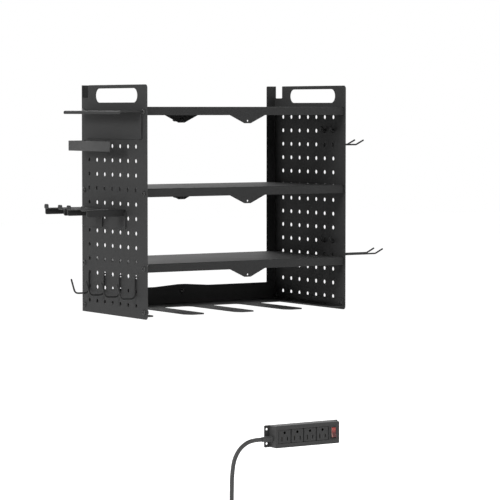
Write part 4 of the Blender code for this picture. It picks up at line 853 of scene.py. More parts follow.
def along_map(mesh, line, sides):
    """u runs along the line in metres, v once round it."""
    corner = np.empty(len(mesh.loops), int)
    mesh.loops.foreach_get("vertex_index", corner)
    row, turn = np.minimum(corner // sides, len(line) - 1), (corner % sides) / sides
    last = np.arange(sides - 1, (len(line) - 1) * sides, sides) * 4
    turn[(last[:, None] + (1, 2)).ravel()] += 1
    values = np.stack((run_of(line)[row], turn), -1)
    mesh.uv_layers.new(name="along").data.foreach_set("uv", values.ravel())


along_map(cord_piece.data, cord_line, CORD_SIDES)
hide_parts("cord_lead", "cord_coil")
print("cord", len(cord_piece.data.polygons), "faces")

# %% [markdown]
# ## The strap
# A strap with a soft cross section holds the coil. It is drawn as a ring round all the turns where
# they pass, and its section is carried round that ring, rather than bent from a band.

# %% Strap
TIE_WIDTH, TIE_THICKNESS, TIE_EASE, TIE_TURN = 0.008, 0.0014, 0.0010, math.radians(300)


def strap():
    """Rows (out, along) of a soft cross section, carried outwards round a ring about the turns."""
    half_u = COIL_PITCH * (COIL_TURNS + 0.5) / 2 + TIE_EASE
    half_v = COIL_PITCH / 2 + CORD_RADIUS + TIE_EASE
    loop = oblong((-half_u, -half_v), (half_u, half_v), CORD_RADIUS, 7)
    rows = np.array(((0, -1), (0.5, -1), (0.9, -0.96), (1, -0.86), (1, -0.70), (0.8, -0.62)))
    rows = np.vstack((rows, rows[::-1] * (1, -1)))
    points = loop[:, None] + mitre(loop)[:, None] * rows[None, :, :1] * TIE_THICKNESS
    height = np.broadcast_to(rows[:, 1] * TIE_WIDTH / 2, points.shape[:2])
    made = grid(np.dstack((points, height)), capped=False)
    first = np.arange(len(rows))
    last = first + (len(loop) - 1) * len(rows)
    closing = np.stack((last, np.roll(last, -1), np.roll(first, -1), first), -1)
    return Shell(made.points[:-2], np.vstack((made.fours, closing)))


# On the coil, u points out from its middle, v to the room and w along the turns
tie_out = coil_out(TIE_TURN)
tie_turn = np.stack((tie_out, TO_ROOM, coil_way(TIE_TURN)), -1)
tie_place = coil_middle + tie_out * COIL_MEAN_RADIUS + TO_ROOM * COIL_PITCH / 2
tie_piece = piece("coil_strap", strap().placed(tie_turn, tie_place), TIE, ["coil_tie"])
print("strap", len(tie_piece.data.polygons), "faces")

# %% [markdown]
# ## The plug
# The plug is moulded on the cord: a grip with ribs for the fingers, a tapered neck and three pins.
# The ribs are in the outline's inset, row by row, so they are real shape and catch the light, which
# a bump would not do at the plug's edge.

# %% Plug
PLUG_LENGTH, PLUG_WIDTH, PLUG_THICKNESS, PLUG_EDGE = 0.036, 0.024, 0.020, 0.003
PLUG_NECK, PLUG_NECK_RADIUS = 0.014, 0.0058
BLADE_LENGTH, BLADE_WIDTH, BLADE_SHEET = 0.017, 0.0063, 0.0015
BLADE_SPACING, GROUND_ABOVE_BLADES, BLADE_DROP, PLUG_PIN_RADIUS = 0.0127, 0.0119, 0.0050, 0.0024


def plug_body():
    """A grip whose waist draws in over five ribs, on a neck that tapers to the cord."""
    front = PLUG_NECK + PLUG_LENGTH
    half_u, half_v, corner = PLUG_WIDTH / 2, PLUG_THICKNESS / 2, 0.0045
    waist, rib, ripple = 0.0016, 0.0005, 0.0004
    ring = oblong((-half_u, -half_v), (half_u, half_v), corner, 6)
    height = np.linspace(PLUG_NECK + PLUG_EDGE, front - PLUG_EDGE, 41)
    share = np.linspace(0, 1.5, 41).clip(0, 1) * math.pi
    inset = waist * np.sin(share) ** 2 + rib * np.sin(5 * share) ** 2
    start, end = soft(PLUG_EDGE) + (0, PLUG_NECK), far_edge(PLUG_EDGE, front)
    grip = stack(ring, np.vstack((start, np.column_stack((inset, height)), end)))
    rise = np.linspace(0, 1, 25)
    neck = CORD_RADIUS + (PLUG_NECK_RADIUS - CORD_RADIUS) * rise
    neck = neck + ripple * np.sin(math.tau * 4 * rise) ** 2 * (rise < 0.97)
    return grip + lathe(np.column_stack((neck, rise * (PLUG_NECK + PLUG_EDGE))))


def plug_pins():
    """Two blades with a hole near their tips, and a round pin with a rounded nose."""
    root, tip = PLUG_NECK + PLUG_LENGTH - PLUG_EDGE, PLUG_NECK + PLUG_LENGTH + BLADE_LENGTH
    corner, edge, hole_radius, hole_from_tip, nose_flat = 0.0012, 0.0003, 0.0015, 0.0040, 0.0002
    ring = oblong((-BLADE_WIDTH / 2, root), (BLADE_WIDTH / 2, tip), corner, 4)
    hole = disc(0, tip - hole_from_tip, hole_radius, 16)
    blade = sheet(ring, [hole], rim(BLADE_SHEET / 2, edge))
    turn = np.linspace(0, math.pi / 2, 5)
    nose = np.column_stack((np.cos(turn), np.sin(turn)))[:-1] * PLUG_PIN_RADIUS
    nose = nose + (0, tip - PLUG_PIN_RADIUS)
    pin = lathe(np.vstack(((PLUG_PIN_RADIUS, root), nose, (nose_flat, tip))), 16)
    pins = [blade.placed(FROM_SIDE, (side * BLADE_SPACING / 2, -BLADE_DROP, 0)) for side in (-1, 1)]
    return joined(pins) + pin.placed(np.eye(3), (0, GROUND_ABOVE_BLADES - BLADE_DROP, 0))


# The plug points along the tail, turned as a track to Z turns a piece
plug_way = coil_way(COIL_TAIL)
plug_turn = np.array(Vector(plug_way).to_track_quat("Z", "Y").to_matrix())
plug_place = cord_line[-1] + plug_way * SEAT_GAP
plug_piece = piece("plug_grip", plug_body().placed(plug_turn, plug_place), CORD, ["cord_plug"])
pins_piece = piece("plug_pins", plug_pins().placed(plug_turn, plug_place), ZINC)
print("plug", len(plug_piece.data.polygons), "faces, pins", len(pins_piece.data.polygons))

# %% [markdown]
# ## The perforated sides
# Each side is one sheet with fourteen rows of seven peg holes, a long slot to carry the rack by, a
# notch at the wall, and a flange folded inwards against the wall. A picture of holes would be
# lighter, but these are seen from close by and against the light, so every hole is cut.

# %% Side panels
RACK_WIDTH, PANEL_HEIGHT, PANEL_DEPTH, PANEL_SHEET = 0.4206, 0.410, 0.2355, 0.0015
PANEL_TOP_Z, PANEL_CORNER = 0.0638, 0.006
PANEL_BOTTOM_Z, PANEL_FRONT_Y, HALF_WIDTH = PANEL_TOP_Z - PANEL_HEIGHT, -PANEL_DEPTH, RACK_WIDTH / 2
PEG_ROW_PITCH, PEG_COLUMN_PITCH, PEG_ROWS, PEG_COLUMNS = 0.0254, 0.0279, 14, 7
PEG_HOLE_RADIUS, PEG_TOP_MARGIN, PEG_FRONT_MARGIN = 0.0036, 0.0577, 0.0391
HAND_SLOT_LENGTH, HAND_SLOT_HEIGHT, HAND_SLOT_FRONT, HAND_SLOT_TOP = 0.149, 0.025, 0.0335, 0.0063
NOTCH_LENGTH, NOTCH_DEPTH, NOTCH_GAP, PAST_BEND = 0.0256, 0.0226, 0.0006, 0.0005
FLANGE_WIDTH = 0.020
PANEL_BEND, RIM, HOLE_RIM, HAIR = 0.0016, 0.0003, 0.0004, 1e-5
FINE_CORNER, INNER_CORNER, CORNER, SOFT_CORNER = 0.001, 0.0015, 0.002, 0.003
LEFT, RIGHT = -1, 1


def peg_row_z(row):
    """Rows are counted down from the top one."""
    return PANEL_TOP_Z - PEG_TOP_MARGIN - row * PEG_ROW_PITCH


def peg_column_y(column):
    """Columns are counted back from the front one."""
    return PANEL_FRONT_Y + PEG_FRONT_MARGIN + column * PEG_COLUMN_PITCH


def panel(side):
    """The outline, the peg holes and the hand slot in y and z, folded at the rear flange."""
    half, top = PANEL_SHEET / 2, PANEL_TOP_Z
    at, rear = pressed(0, FLANGE_WIDTH, half, PANEL_BEND)
    notch, notch_z = at - NOTCH_GAP, top - NOTCH_DEPTH
    corners = [(PANEL_FRONT_Y, PANEL_BOTTOM_Z, PANEL_CORNER), (rear, PANEL_BOTTOM_Z, CORNER)]
    corners += [(rear, top, CORNER), (notch, top, 0), (notch, notch_z, INNER_CORNER)]
    corners += [(-NOTCH_LENGTH, notch_z, CORNER), (-NOTCH_LENGTH, top, CORNER)]
    corners += [(PANEL_FRONT_Y, top, PANEL_CORNER)]
    ys, zs = map(peg_column_y, range(PEG_COLUMNS)), map(peg_row_z, range(PEG_ROWS))
    holes = [disc(y, z, PEG_HOLE_RADIUS, 20) for z, y in product(zs, ys)]
    slot_front, slot_top = PANEL_FRONT_Y + HAND_SLOT_FRONT, top - HAND_SLOT_TOP
    slot = ((slot_front, slot_top - HAND_SLOT_HEIGHT), (slot_front + HAND_SLOT_LENGTH, slot_top))
    holes.append(oblong(*slot, HAND_SLOT_HEIGHT / 2 - HAIR, 12))
    folds = [Fold(0, at, -90 * side, PANEL_BEND)]
    made = sheet(traced(corners, 8), holes, rim(half, RIM), rim(half, HOLE_RIM), folds)
    return made.placed(FROM_SIDE, (side * (HALF_WIDTH - half), 0, 0))


for side, name in ((LEFT, "side_panel_left"), (RIGHT, "side_panel_right")):
    made = piece(f"{name}_sheet", panel(side), POWDER, [name])
    print(name, len(made.data.polygons), "faces")

# %% [markdown]
# ## The trays
# A tray is a sheet shaped like a plus sign, folded down on all four sides. The long lips each carry
# a tapered tab with a hole; the rear one takes the wall screw. The short ends carry press nuts for
# the bolts that hold the tray between the sides. Four boxes could stand for it, but folding gives
# the bends their radius and the corners their gaps, as on the real one.

# %% Trays
SHELF_SHEET, LIP_HEIGHT, SHELF_FRONT_SET, SHELF_BEND = 0.0015, 0.0148, 0.004, 0.0016
TAB_ROOT, TAB_TIP, TAB_DROP, TAB_HOLE_RISE, TAB_HOLE_RADIUS = 0.074, 0.013, 0.0145, 0.0044, 0.0025
FRONT_HOLE_RADIUS, UPPER_DROP, LOWER_DROP = 0.0016, 0.1814, 0.3130
SHELF_TOP_Z = LIP_HEIGHT + TAB_DROP - TAB_HOLE_RISE
SHELF_TOPS = (SHELF_TOP_Z, PANEL_TOP_Z - UPPER_DROP, PANEL_TOP_Z - LOWER_DROP)
SHELF_HALF = HALF_WIDTH - PANEL_SHEET - SEAT_GAP
SHELF_BACK_Y = -PANEL_SHEET - SEAT_GAP
SHELF_FRONT_Y = PANEL_FRONT_Y + SHELF_FRONT_SET
BOLT_EDGE_INSET, BOLT_DROP = 0.0105, 0.0082
NUT_RADIUS, NUT_HEIGHT, NUT_CORNER, BOLT_RADIUS = 0.0046, 0.0034, 0.0006, 0.0024
FLANGE_STEP = SHELF_SHEET + 0.0002
BOLT_DEPTHS = (PANEL_FRONT_Y + BOLT_EDGE_INSET, -BOLT_EDGE_INSET)


def press_nuts(z):
    """A hexagonal nut at each bolt, on the inner face of both ends."""
    ring = rounded(disc(0, 0, NUT_RADIUS, 6), NUT_CORNER, 2)
    nut = sheet(ring, [disc(0, 0, BOLT_RADIUS, 16)], rim(NUT_HEIGHT / 2, HOLE_RIM))
    x = SHELF_HALF - SHELF_SHEET - NUT_HEIGHT / 2
    places = product((LEFT, RIGHT), BOLT_DEPTHS)
    return joined(nut.placed(FROM_SIDE, (side * x, y, z)) for side, y in places)


def relief(at_u, at_v, end_v):
    """The cut between an end flange and a side flange."""
    gap, past = NOTCH_GAP, SHELF_BEND * math.pi / 2 + PAST_BEND
    cut = [(at_u + past, end_v), (at_u + past, at_v - gap), (at_u - gap, at_v - gap)]
    return [(u, v, 0) for u, v in cut + [(at_u - gap, at_v + past), (SHELF_HALF, at_v + past)]]


def tray(top):
    """A plus-shaped sheet, a quarter of it drawn and mirrored, folded down on four sides."""
    half, bend, wide = SHELF_SHEET / 2, SHELF_BEND, SHELF_HALF + HAIR
    middle, deep = (SHELF_FRONT_Y + SHELF_BACK_Y) / 2, (SHELF_BACK_Y - SHELF_FRONT_Y) / 2
    at_u, lip_u = pressed(SHELF_HALF, LIP_HEIGHT, half, bend)
    at_v, lip_v = pressed(deep, LIP_HEIGHT, half, bend)
    end_v = deep - FLANGE_STEP
    quarter = [(lip_u, end_v, FINE_CORNER), *relief(at_u, at_v, end_v)]
    quarter += [(SHELF_HALF, lip_v, INNER_CORNER), (TAB_ROOT / 2, lip_v, SOFT_CORNER)]
    quarter += [(TAB_TIP / 2, lip_v + TAB_DROP, SOFT_CORNER)]
    ring = quarter + [(-u, v, r) for u, v, r in quarter[::-1]]
    ring += [(-u, -v, r) for u, v, r in ring]
    hole_v = lip_v + TAB_DROP - TAB_HOLE_RISE
    holes = [disc(0, -hole_v, FRONT_HOLE_RADIUS, 20), disc(0, hole_v, TAB_HOLE_RADIUS, 20)]
    folds = [Fold(1, way * at_v, -90, bend, way, -wide, wide) for way in (-1, 1)]
    folds += [Fold(0, way * at_u, -90, bend, way, -end_v - HAIR, end_v + HAIR) for way in (-1, 1)]
    made = sheet(traced(ring, 4), holes, rim(half, RIM), None, folds)
    return made.placed(FROM_ABOVE, (0, middle, top - half)) + press_nuts(top - BOLT_DROP)


for top, name in zip(SHELF_TOPS, ("top_shelf", "upper_shelf", "lower_shelf")):
    made = piece(f"{name}_tray", tray(top), POWDER, [name])
    print(name, len(made.data.polygons), "faces")

# %% [markdown]
# ## The comb shelf
# Four open slots take the handles of drills that hang by their battery ends. The sheet turns up at
# the wall, with a low peak for the wall screw, and at both ends. A loop over the slots writes the
# comb's outline, and the same sheet and folds as before do the rest.

# %% Comb shelf
DRILL_SHELF_DROP = 0.4040
DRILL_SHELF_TOP_Z = PANEL_TOP_Z - DRILL_SHELF_DROP
DRILL_SLOTS, DRILL_SLOT_WIDTH, DRILL_SLOT_DEPTH, DRILL_SLOT_CORNER = 4, 0.062, 0.166, 0.012
FINGER_TIP_WIDTH, FINGER_CHAMFER, FINGER_CORNER = 0.025, 0.014, 0.006
UPSTAND_HEIGHT, UPSTAND_PEAK, DRILL_BOLT_RISE = 0.0317, 0.0036, 0.0066
UPSTAND_ROOT, UPSTAND_TIP, UPSTAND_SCREW_RISE, DRILL_END_FLANGE = 0.116, 0.0156, 0.022, 0.0140


def comb():
    """Slots at one pitch along the front, tapering to the fingers' tips; three folds up."""
    half, bend, front_v = SHELF_SHEET / 2, SHELF_BEND, SHELF_FRONT_Y
    at_u, end_u = pressed(SHELF_HALF, DRILL_END_FLANGE + SHELF_SHEET, half, bend)
    at_v, back_v = pressed(SHELF_BACK_Y, UPSTAND_HEIGHT + SHELF_SHEET, half, bend)
    end_v, pitch = SHELF_BACK_Y - FLANGE_STEP, 2 * SHELF_HALF / DRILL_SLOTS
    floor_v, chamfer_v = front_v + DRILL_SLOT_DEPTH, front_v + FINGER_CHAMFER
    taper = (pitch - DRILL_SLOT_WIDTH - FINGER_TIP_WIDTH) / 2
    ring = [(-end_u, front_v, SOFT_CORNER)]
    for slot in range(DRILL_SLOTS):
        first = -SHELF_HALF + pitch * (slot + 0.5) - DRILL_SLOT_WIDTH / 2
        last = first + DRILL_SLOT_WIDTH
        ring += [(first - taper, front_v, SOFT_CORNER), (first, chamfer_v, FINGER_CORNER)]
        ring += [(u, floor_v, DRILL_SLOT_CORNER) for u in (first, last)]
        ring += [(last, chamfer_v, FINGER_CORNER), (last + taper, front_v, SOFT_CORNER)]
    rear = [(end_u, end_v, FINE_CORNER), *relief(at_u, at_v, end_v)]
    rear += [(SHELF_HALF, back_v, FINE_CORNER), (UPSTAND_ROOT / 2, back_v, SOFT_CORNER)]
    rear += [(UPSTAND_TIP / 2, back_v + UPSTAND_PEAK, SOFT_CORNER)]
    ring += [(end_u, front_v, SOFT_CORNER), *rear] + [(-u, v, r) for u, v, r in rear[::-1]]
    hole = disc(0, back_v - UPSTAND_HEIGHT + UPSTAND_SCREW_RISE, TAB_HOLE_RADIUS, 20)
    folds = [Fold(1, at_v, 90, bend, 1, -SHELF_HALF - HAIR, SHELF_HALF + HAIR)]
    folds += [Fold(0, way * at_u, 90, bend, way, -9, end_v + HAIR) for way in (-1, 1)]
    made = sheet(traced(ring, 6), [hole], rim(half, RIM), None, folds)
    nuts = press_nuts(DRILL_SHELF_TOP_Z + DRILL_BOLT_RISE)
    return made.placed(FROM_ABOVE, (0, 0, DRILL_SHELF_TOP_Z - half)) + nuts


made = piece("drill_shelf_comb", comb(), POWDER, ["drill_shelf"])
print("comb shelf", len(made.data.polygons), "faces")

# %% [markdown]
# ## The screwdriver rack
# A ledge with nine holes between a deep back plate and a small lip. Like every holder it hooks into
# the side on bent pegs, which are wires that reach through two holes and turn up behind the sheet.
# Its flat sheet is drawn in u, out from the side, and v, along it.

# %% Screwdriver rack
HOLDER_SHEET, HOLDER_BEND, RACK_CORNER = 0.002, 0.0020, 0.0025
LEFT_FACE_X, RIGHT_FACE_X = -HALF_WIDTH - SEAT_GAP, HALF_WIDTH + SEAT_GAP
PEG_RADIUS, PEG_REACH, PEG_TURN_UP, PEG_BEND = 0.0026, 0.0075, 0.0085, 0.0045
OUT_LEFT = ((-1, 0, 0), (0, 1, 0), (0, 0, 1))  # u out from the left side, v as y, w as z


def pegs(side, row, columns):
    """From a back plate through the side panel, turned up behind it, in some holes of a row."""
    start, behind = side * (RIGHT_FACE_X + HOLDER_SHEET / 2), side * (HALF_WIDTH - PEG_REACH)
    z, places = peg_row_z(row), [peg_column_y(column) for column in columns]
    lines = [((start, y, z), (behind, y, z), (behind, y, z + PEG_TURN_UP)) for y in places]
    return joined(tube(bent(line, PEG_BEND), PEG_RADIUS) for line in lines)


def screwdriver_rack():
    """Out from the panel: a back plate down, the ledge with its row of holes, a lip down."""
    length, margin, reach, deep, lip, lift = 0.2035, 0.016, 0.045, 0.050, 0.006, 0.0119
    top, hole_out, hole_radius, holes, end = peg_row_z(0) + lift, 0.027, 0.0045, 9, 0.011
    half, bend, rear, front = HOLDER_SHEET / 2, HOLDER_BEND, -margin, -margin - length
    near, low_u = (-u for u in pressed(0, deep, half, bend))
    far, high_u = pressed(reach, lip, half, bend)
    outline = oblong((low_u, front), (high_u, rear), RACK_CORNER, 4)
    places = np.linspace(front + end, rear - end, holes)
    drills = [disc(hole_out, y, hole_radius) for y in places]
    folds = [Fold(0, near, -90, bend, -1), Fold(0, far, -90, bend)]
    made = sheet(outline, drills, rim(half, RIM), rim(half, HOLE_RIM), folds)
    return made.placed(OUT_LEFT, (LEFT_FACE_X, 0, top - half)) + pegs(LEFT, 1, (1, 5))


piece("screwdriver_rack_sheet", screwdriver_rack(), POWDER, ["screwdriver_rack"])
print("screwdriver rack made")

# %% [markdown]
# ## The plier rack
# A strip bent into a bracket, standing on its edge. All its bends turn about upright lines, so its
# outline from above, raised to the strip's height, is simpler than folding it.

# %% Plier rack
def plier_rack():
    """Seen from above: a long bar, an arm back to the panel at its rear and one near its middle."""
    reach, length, height, foot, row, columns = 0.038, 0.1525, 0.018, 0.019, 2, (4, 6)
    thick, outer_bend, inner_bend, end = HOLDER_SHEET, 0.0026, 0.0008, 0.0006
    arm, rear = peg_column_y(columns[0]) - foot / 2, peg_column_y(columns[1]) + foot / 2
    inner, outer, front = LEFT_FACE_X, LEFT_FACE_X - reach, rear - length
    web, face = outer + thick, inner - thick
    corners = [(inner, arm, outer_bend), (web, arm, inner_bend), (web, front, end)]
    corners += [(outer, front, end), (outer, rear, outer_bend), (inner, rear, outer_bend)]
    corners += [(inner, rear - foot, end)]
    corners += [(face, rear - foot, end), (face, rear - thick, inner_bend)]
    corners += [(web, rear - thick, inner_bend), (web, arm + thick, inner_bend)]
    corners += [(face, arm + thick, inner_bend), (face, arm + foot, end), (inner, arm + foot, end)]
    made = sheet(traced(corners, 4), [], rim(height / 2, HOLE_RIM))
    return made.placed(FROM_ABOVE, (0, 0, peg_row_z(row))) + pegs(LEFT, row, columns)


piece("plier_rack_strip", plier_rack(), POWDER, ["plier_rack"])
print("plier rack made")

# %% [markdown]
# ## Drill forks
# Two ledges with an open slot, skirts along their sides and tips turned up. The skirts make the
# thin sheet stiff. It could be built from plates side by side, but one outline with notches
# between the folds lets each flange turn by itself, as on the press.

# %% Drill forks
def drill_fork(column):
    """Half an outline with a skirt, mirrored, and between the halves the bow of the slot."""
    reach, half_width, slot, root = 0.082, 0.036, 0.038, 0.020
    deep, skirt, tip, lift, row = 0.034, 0.012, 0.007, 0.0157, 7
    half, bend, gap = HOLDER_SHEET / 2, HOLDER_BEND, NOTCH_GAP
    past = bend * math.pi / 2 + PAST_BEND
    near, low_u = (-u for u in pressed(0, deep, half, bend))
    far, high_u = pressed(reach, tip + HOLDER_SHEET, half, bend)
    wide, side_v = pressed(half_width, skirt, half, bend)
    side = [(high_u, slot / 2, SOFT_CORNER), (high_u, wide - gap, SOFT_CORNER)]
    side += [(far - gap, wide - gap, 0), (far - gap, side_v, SOFT_CORNER)]
    side += [(near + gap, side_v, CORNER), (near + gap, wide - gap, 0)]
    side += [(near - past, wide - gap, 0), (near - past, half_width, 0)]
    side += [(low_u, half_width, SOFT_CORNER)]
    turn, radius = np.linspace(-math.pi / 2, -1.5 * math.pi, 17), slot / 2
    bow = (root + radius + radius * np.cos(turn), radius * np.sin(turn), 0 * turn)
    ring = np.vstack((side, side[::-1] * np.array((1, -1, 1)), np.transpose(bow)))
    folds = [Fold(0, near, -90, bend, -1), Fold(0, far, 90, bend, 1, -wide, wide)]
    folds += [Fold(1, way * wide, -90, bend, way, near, far) for way in (-1, 1)]
    middle = (peg_column_y(column) + peg_column_y(column + 1)) / 2
    made = sheet(traced(ring, 4), [], rim(half, RIM), None, folds)
    made = made.placed(OUT_LEFT, (LEFT_FACE_X, middle, peg_row_z(row) + lift - half))
    return made + pegs(LEFT, row, (column, column + 1))


piece("drill_fork_front_sheet", drill_fork(2), POWDER, ["drill_fork_front"])
piece("drill_fork_rear_sheet", drill_fork(5), POWDER, ["drill_fork_rear"])
print("drill forks made")

# %% [markdown]
# ## Wire hooks
# Four hooks of bent wire hang below, each up behind the panel, down its face and out into a bowl
# for a ring spanner. On the other side two plates each carry a pair of prongs for hammers. A wire
# is named by its corners and bend radii, as a bending machine takes it, and a tube follows it.

# %% Hooks
HOOK_WIRE, HOOK_ROW, HOOK_DIP = 0.0016, 11, 0.0125
HOOK_OUT, HOOK_TIP_OUT, HOOK_TIP_RISE = 0.028, 0.036, 0.014
HOOK_CLEARANCE, HOOK_BENDS = 0.0005, (0.0024, 0.0024, 0.0085, 0.0085)
PRONG_RADIUS, PRONG_BEND, PRONG_TIP_OUT, PRONG_TIP_RISE = 0.0015, 0.006, 0.0175, 0.0085
SHORT_PRONG, LONG_PRONG, PLATE_MARGIN, PLATE_CORNER = 0.050, 0.0945, 0.009, 0.004


def peg_hook(column):
    """Behind the panel, through a hole, down the face, out, and up to the tip."""
    row = peg_row_z(HOOK_ROW)
    low = row - PEG_ROW_PITCH - HOOK_DIP
    face = -HALF_WIDTH - HOOK_CLEARANCE - HOOK_WIRE
    behind = -HALF_WIDTH + PEG_REACH
    line = [(behind, row + PEG_TURN_UP), (behind, row), (face, row), (face, low)]
    line += [(face - HOOK_OUT, low), (face - HOOK_TIP_OUT, low + HOOK_DIP + HOOK_TIP_RISE)]
    y = peg_column_y(column)
    return tube(bent([(x, y, z) for x, z in line], HOOK_BENDS), HOOK_WIRE)


def hammer_hook(row, length):
    """A plate over four holes, hung on two pegs, and two prongs that end turned up."""
    z, root, elbow = peg_row_z(row), RIGHT_FACE_X + HOLDER_SHEET / 2, HALF_WIDTH + length
    low = (peg_column_y(0) - PLATE_MARGIN, z - PLATE_MARGIN)
    high = (peg_column_y(1) + PLATE_MARGIN, peg_row_z(row - 1) + PLATE_MARGIN)
    made = sheet(oblong(low, high, PLATE_CORNER), [], rim(HOLDER_SHEET / 2, RIM))
    made = made.placed(FROM_SIDE, (root, 0, 0))
    for column in (0, 1):
        y = peg_column_y(column)
        line = ((root, y, z), (elbow, y, z), (elbow + PRONG_TIP_OUT, y, z + PRONG_TIP_RISE))
        made = made + tube(bent(line, PRONG_BEND), PRONG_RADIUS) + pegs(RIGHT, row - 1, [column])
    return made


for number, column in enumerate((0, 2, 4, 6), 1):
    piece(f"peg_hook_{number}_wire", peg_hook(column), POWDER, [f"peg_hook_{number}"])
piece("hammer_hook_upper_prongs", hammer_hook(2, SHORT_PRONG), POWDER, ["hammer_hook_upper"])
piece("hammer_hook_lower_prongs", hammer_hook(10, LONG_PRONG), POWDER, ["hammer_hook_lower"])
print("hooks made")

# %% [markdown]
# ## Screw heads
# A head is a low dome with a recess. The recess could be cut out of the dome, but here it is part
# of the same rows: rings blend from a circle at the rim to the recess's outline at its mouth, then
# go down inside it, so the faces stay even and the rim catches light.

# %% Screw heads
SCREW_SIDES = 24
MOUTH_DIP = 0.00005  # how far a recess starts under the dome's top


def flat_sided(sides, across, turn):
    """Radius of a regular polygon at each angle, from the distance to its sides."""
    sector = math.tau / sides
    return across / np.cos((turn + sector / 2) % sector - sector / 2)


def crossed_recess(radius, turn):
    """Radius of a recess with four arms."""
    return radius * (0.36 + 0.64 * np.abs(np.cos(2 * turn)) ** 2.2)


def headed(rows, head, depth, recess, sides=SCREW_SIDES):
    """Round rows up to a head's top, then the recess's own: its size, its drop, its edge mark."""
    sunk = ((1.12, 0, 0.7), (1, 0.0002, 0.4), (0.92, depth * 0.9, 0), (0.85, depth, 0))
    size, drop, mark = np.array(sunk).T
    inner = recess(math.tau * np.arange(sides) / sides) * size[:, None]
    radius = np.vstack((rows[:, :1] * np.ones(sides), inner))
    height = np.concatenate((rows[:, 1], head - MOUTH_DIP - drop))
    return around(radius, height[:, None], np.concatenate((rows[:, 2], mark)))


def dome(radius, height, share=0.55, steps=5):
    """Rows of a low head: a short wall, then an ellipse in to a share of its radius."""
    turn, wall = np.linspace(0, 1, steps + 1) * math.acos(share), height * 0.25
    lift = wall + (height - wall) * np.sin(turn) / math.sin(math.acos(share))
    rows = np.column_stack((radius * np.cos(turn), lift, np.linspace(1, 0, steps + 1)))
    return np.vstack(((radius * 0.93, 0, 0.3), (radius, 0.0002, 1), rows))


print("a head has", len(dome(1, 0.5)), "rows before its recess")

# %% [markdown]
# ## Shelf bolts
# A shelf bolt has a hexagonal socket and a plain shank that just passes its press nut. All sixteen
# are one shell, placed sixteen times by a loop, so that they are alike, as bought ones are.

# %% Shelf bolts
def shelf_bolt():
    """Rows of the shank from its tip, then the head's."""
    radius, head, head_radius, past_nut, chamfer = BOLT_RADIUS, 0.0026, 0.0047, 0.0012, 0.0005
    socket_half, socket_depth = 0.0015, 0.0014
    tip = -SEAT_GAP - PANEL_SHEET - SEAT_GAP - SHELF_SHEET - NUT_HEIGHT - past_nut
    shank = ((radius * 0.8, tip, 0), (radius, tip + chamfer, 0), (radius, -0.0001, 0))
    rows = np.vstack((shank, dome(head_radius, head)))
    return headed(rows, head, socket_depth, lambda turn: flat_sided(6, socket_half, turn))


bolt, shelves = shelf_bolt(), ("top", "upper", "lower", "drill")
bolt_zs = [top - BOLT_DROP for top in SHELF_TOPS] + [DRILL_SHELF_TOP_Z + DRILL_BOLT_RISE]
depths, sides = zip(("front", "rear"), BOLT_DEPTHS), ((LEFT, "left"), (RIGHT, "right"))
for (shelf, z), (place, y), (side, side_name) in product(zip(shelves, bolt_zs), depths, sides):
    turn = ((0, 0, side), (0, 1, 0), (-side, 0, 0))
    name = f"{shelf}_shelf_bolt_{side_name}_{place}"
    piece(f"{name}_head", bolt.placed(turn, (side * RIGHT_FACE_X, y, z)), BLACK_STEEL, [name])
print("a shelf bolt has", len(bolt.fours) + len(bolt.threes), "faces")

# %% [markdown]
# ## Wall screws
# A wall screw has a cross recess and a thread. A spiral curve could be wound round a plain shank;
# here the thread is a ridge whose height depends on height and angle together, so it climbs as it
# goes round. It is real shape, because no wall hides it.

# %% Wall screws
def threaded(radius, length, point, pitch, depth):
    """A pointed shank whose ridge climbs one pitch a turn, and fades below the plain neck."""
    neck, fade, flank, tip_share, least = 0.004, 0.002, 2.2, 0.12, 0.0002
    height = np.linspace(-length, -0.0006, int(length / pitch * 8))[:, None]
    turn = (math.tau * np.arange(SCREW_SIDES) / SCREW_SIDES)[None]
    wave = (height / pitch - turn / math.tau) % 1
    ridge = np.clip(1 - np.abs(wave * 2 - 1) * flank, 0, 1) * depth
    ridge = ridge * np.clip((-height - neck) / fade, 0, 1)
    size = radius * np.clip((height + length) / point, tip_share, 1) - depth * 0.5 + ridge
    return around(np.maximum(size, least), height)


def wall_screw(radius, head_radius, head, length, point):
    """A head with a cross recess over a thread whose pitch and depth follow its radius."""
    cross, neck, neck_start = head_radius * 0.42, radius * 0.9, -0.0008
    rows = np.vstack(((neck, neck_start, 0), dome(head_radius, head, 0.5)))
    top = headed(rows, head, head * 0.6, lambda turn: crossed_recess(cross, turn), 32)
    return top + threaded(radius, length, point, radius * 0.75, radius * 0.3)


stand, into_wall = -SHELF_BACK_Y + SHELF_SHEET + SEAT_GAP, 0.030
reach = stand + into_wall
screw = wall_screw(radius=0.0021, head_radius=0.0045, head=0.0028, length=reach, point=0.006)
screw_zs = [top - LIP_HEIGHT - TAB_DROP + TAB_HOLE_RISE for top in SHELF_TOPS]
for shelf, z in zip(shelves, screw_zs + [DRILL_SHELF_TOP_Z + UPSTAND_SCREW_RISE]):
    name = f"wall_screw_{shelf}"
    piece(f"{name}_thread", screw.placed(FROM_FRONT, (0, -stand, z)), BLACK_STEEL, [name])
print("a wall screw has", len(screw.fours) + len(screw.threes), "faces")

# %% [markdown]
# ## The strip's housing
# The cover is a moulded tray, open at the wall, whose face has one long window for the outlets and
# a small one for the switch. A box with a Solidify modifier would give its walls, but not the round
# edges. It is one sheet instead, whose outer rim turns into walls: the rows of its outline run down
# inside, round the rear edge and up outside before they reach the face.

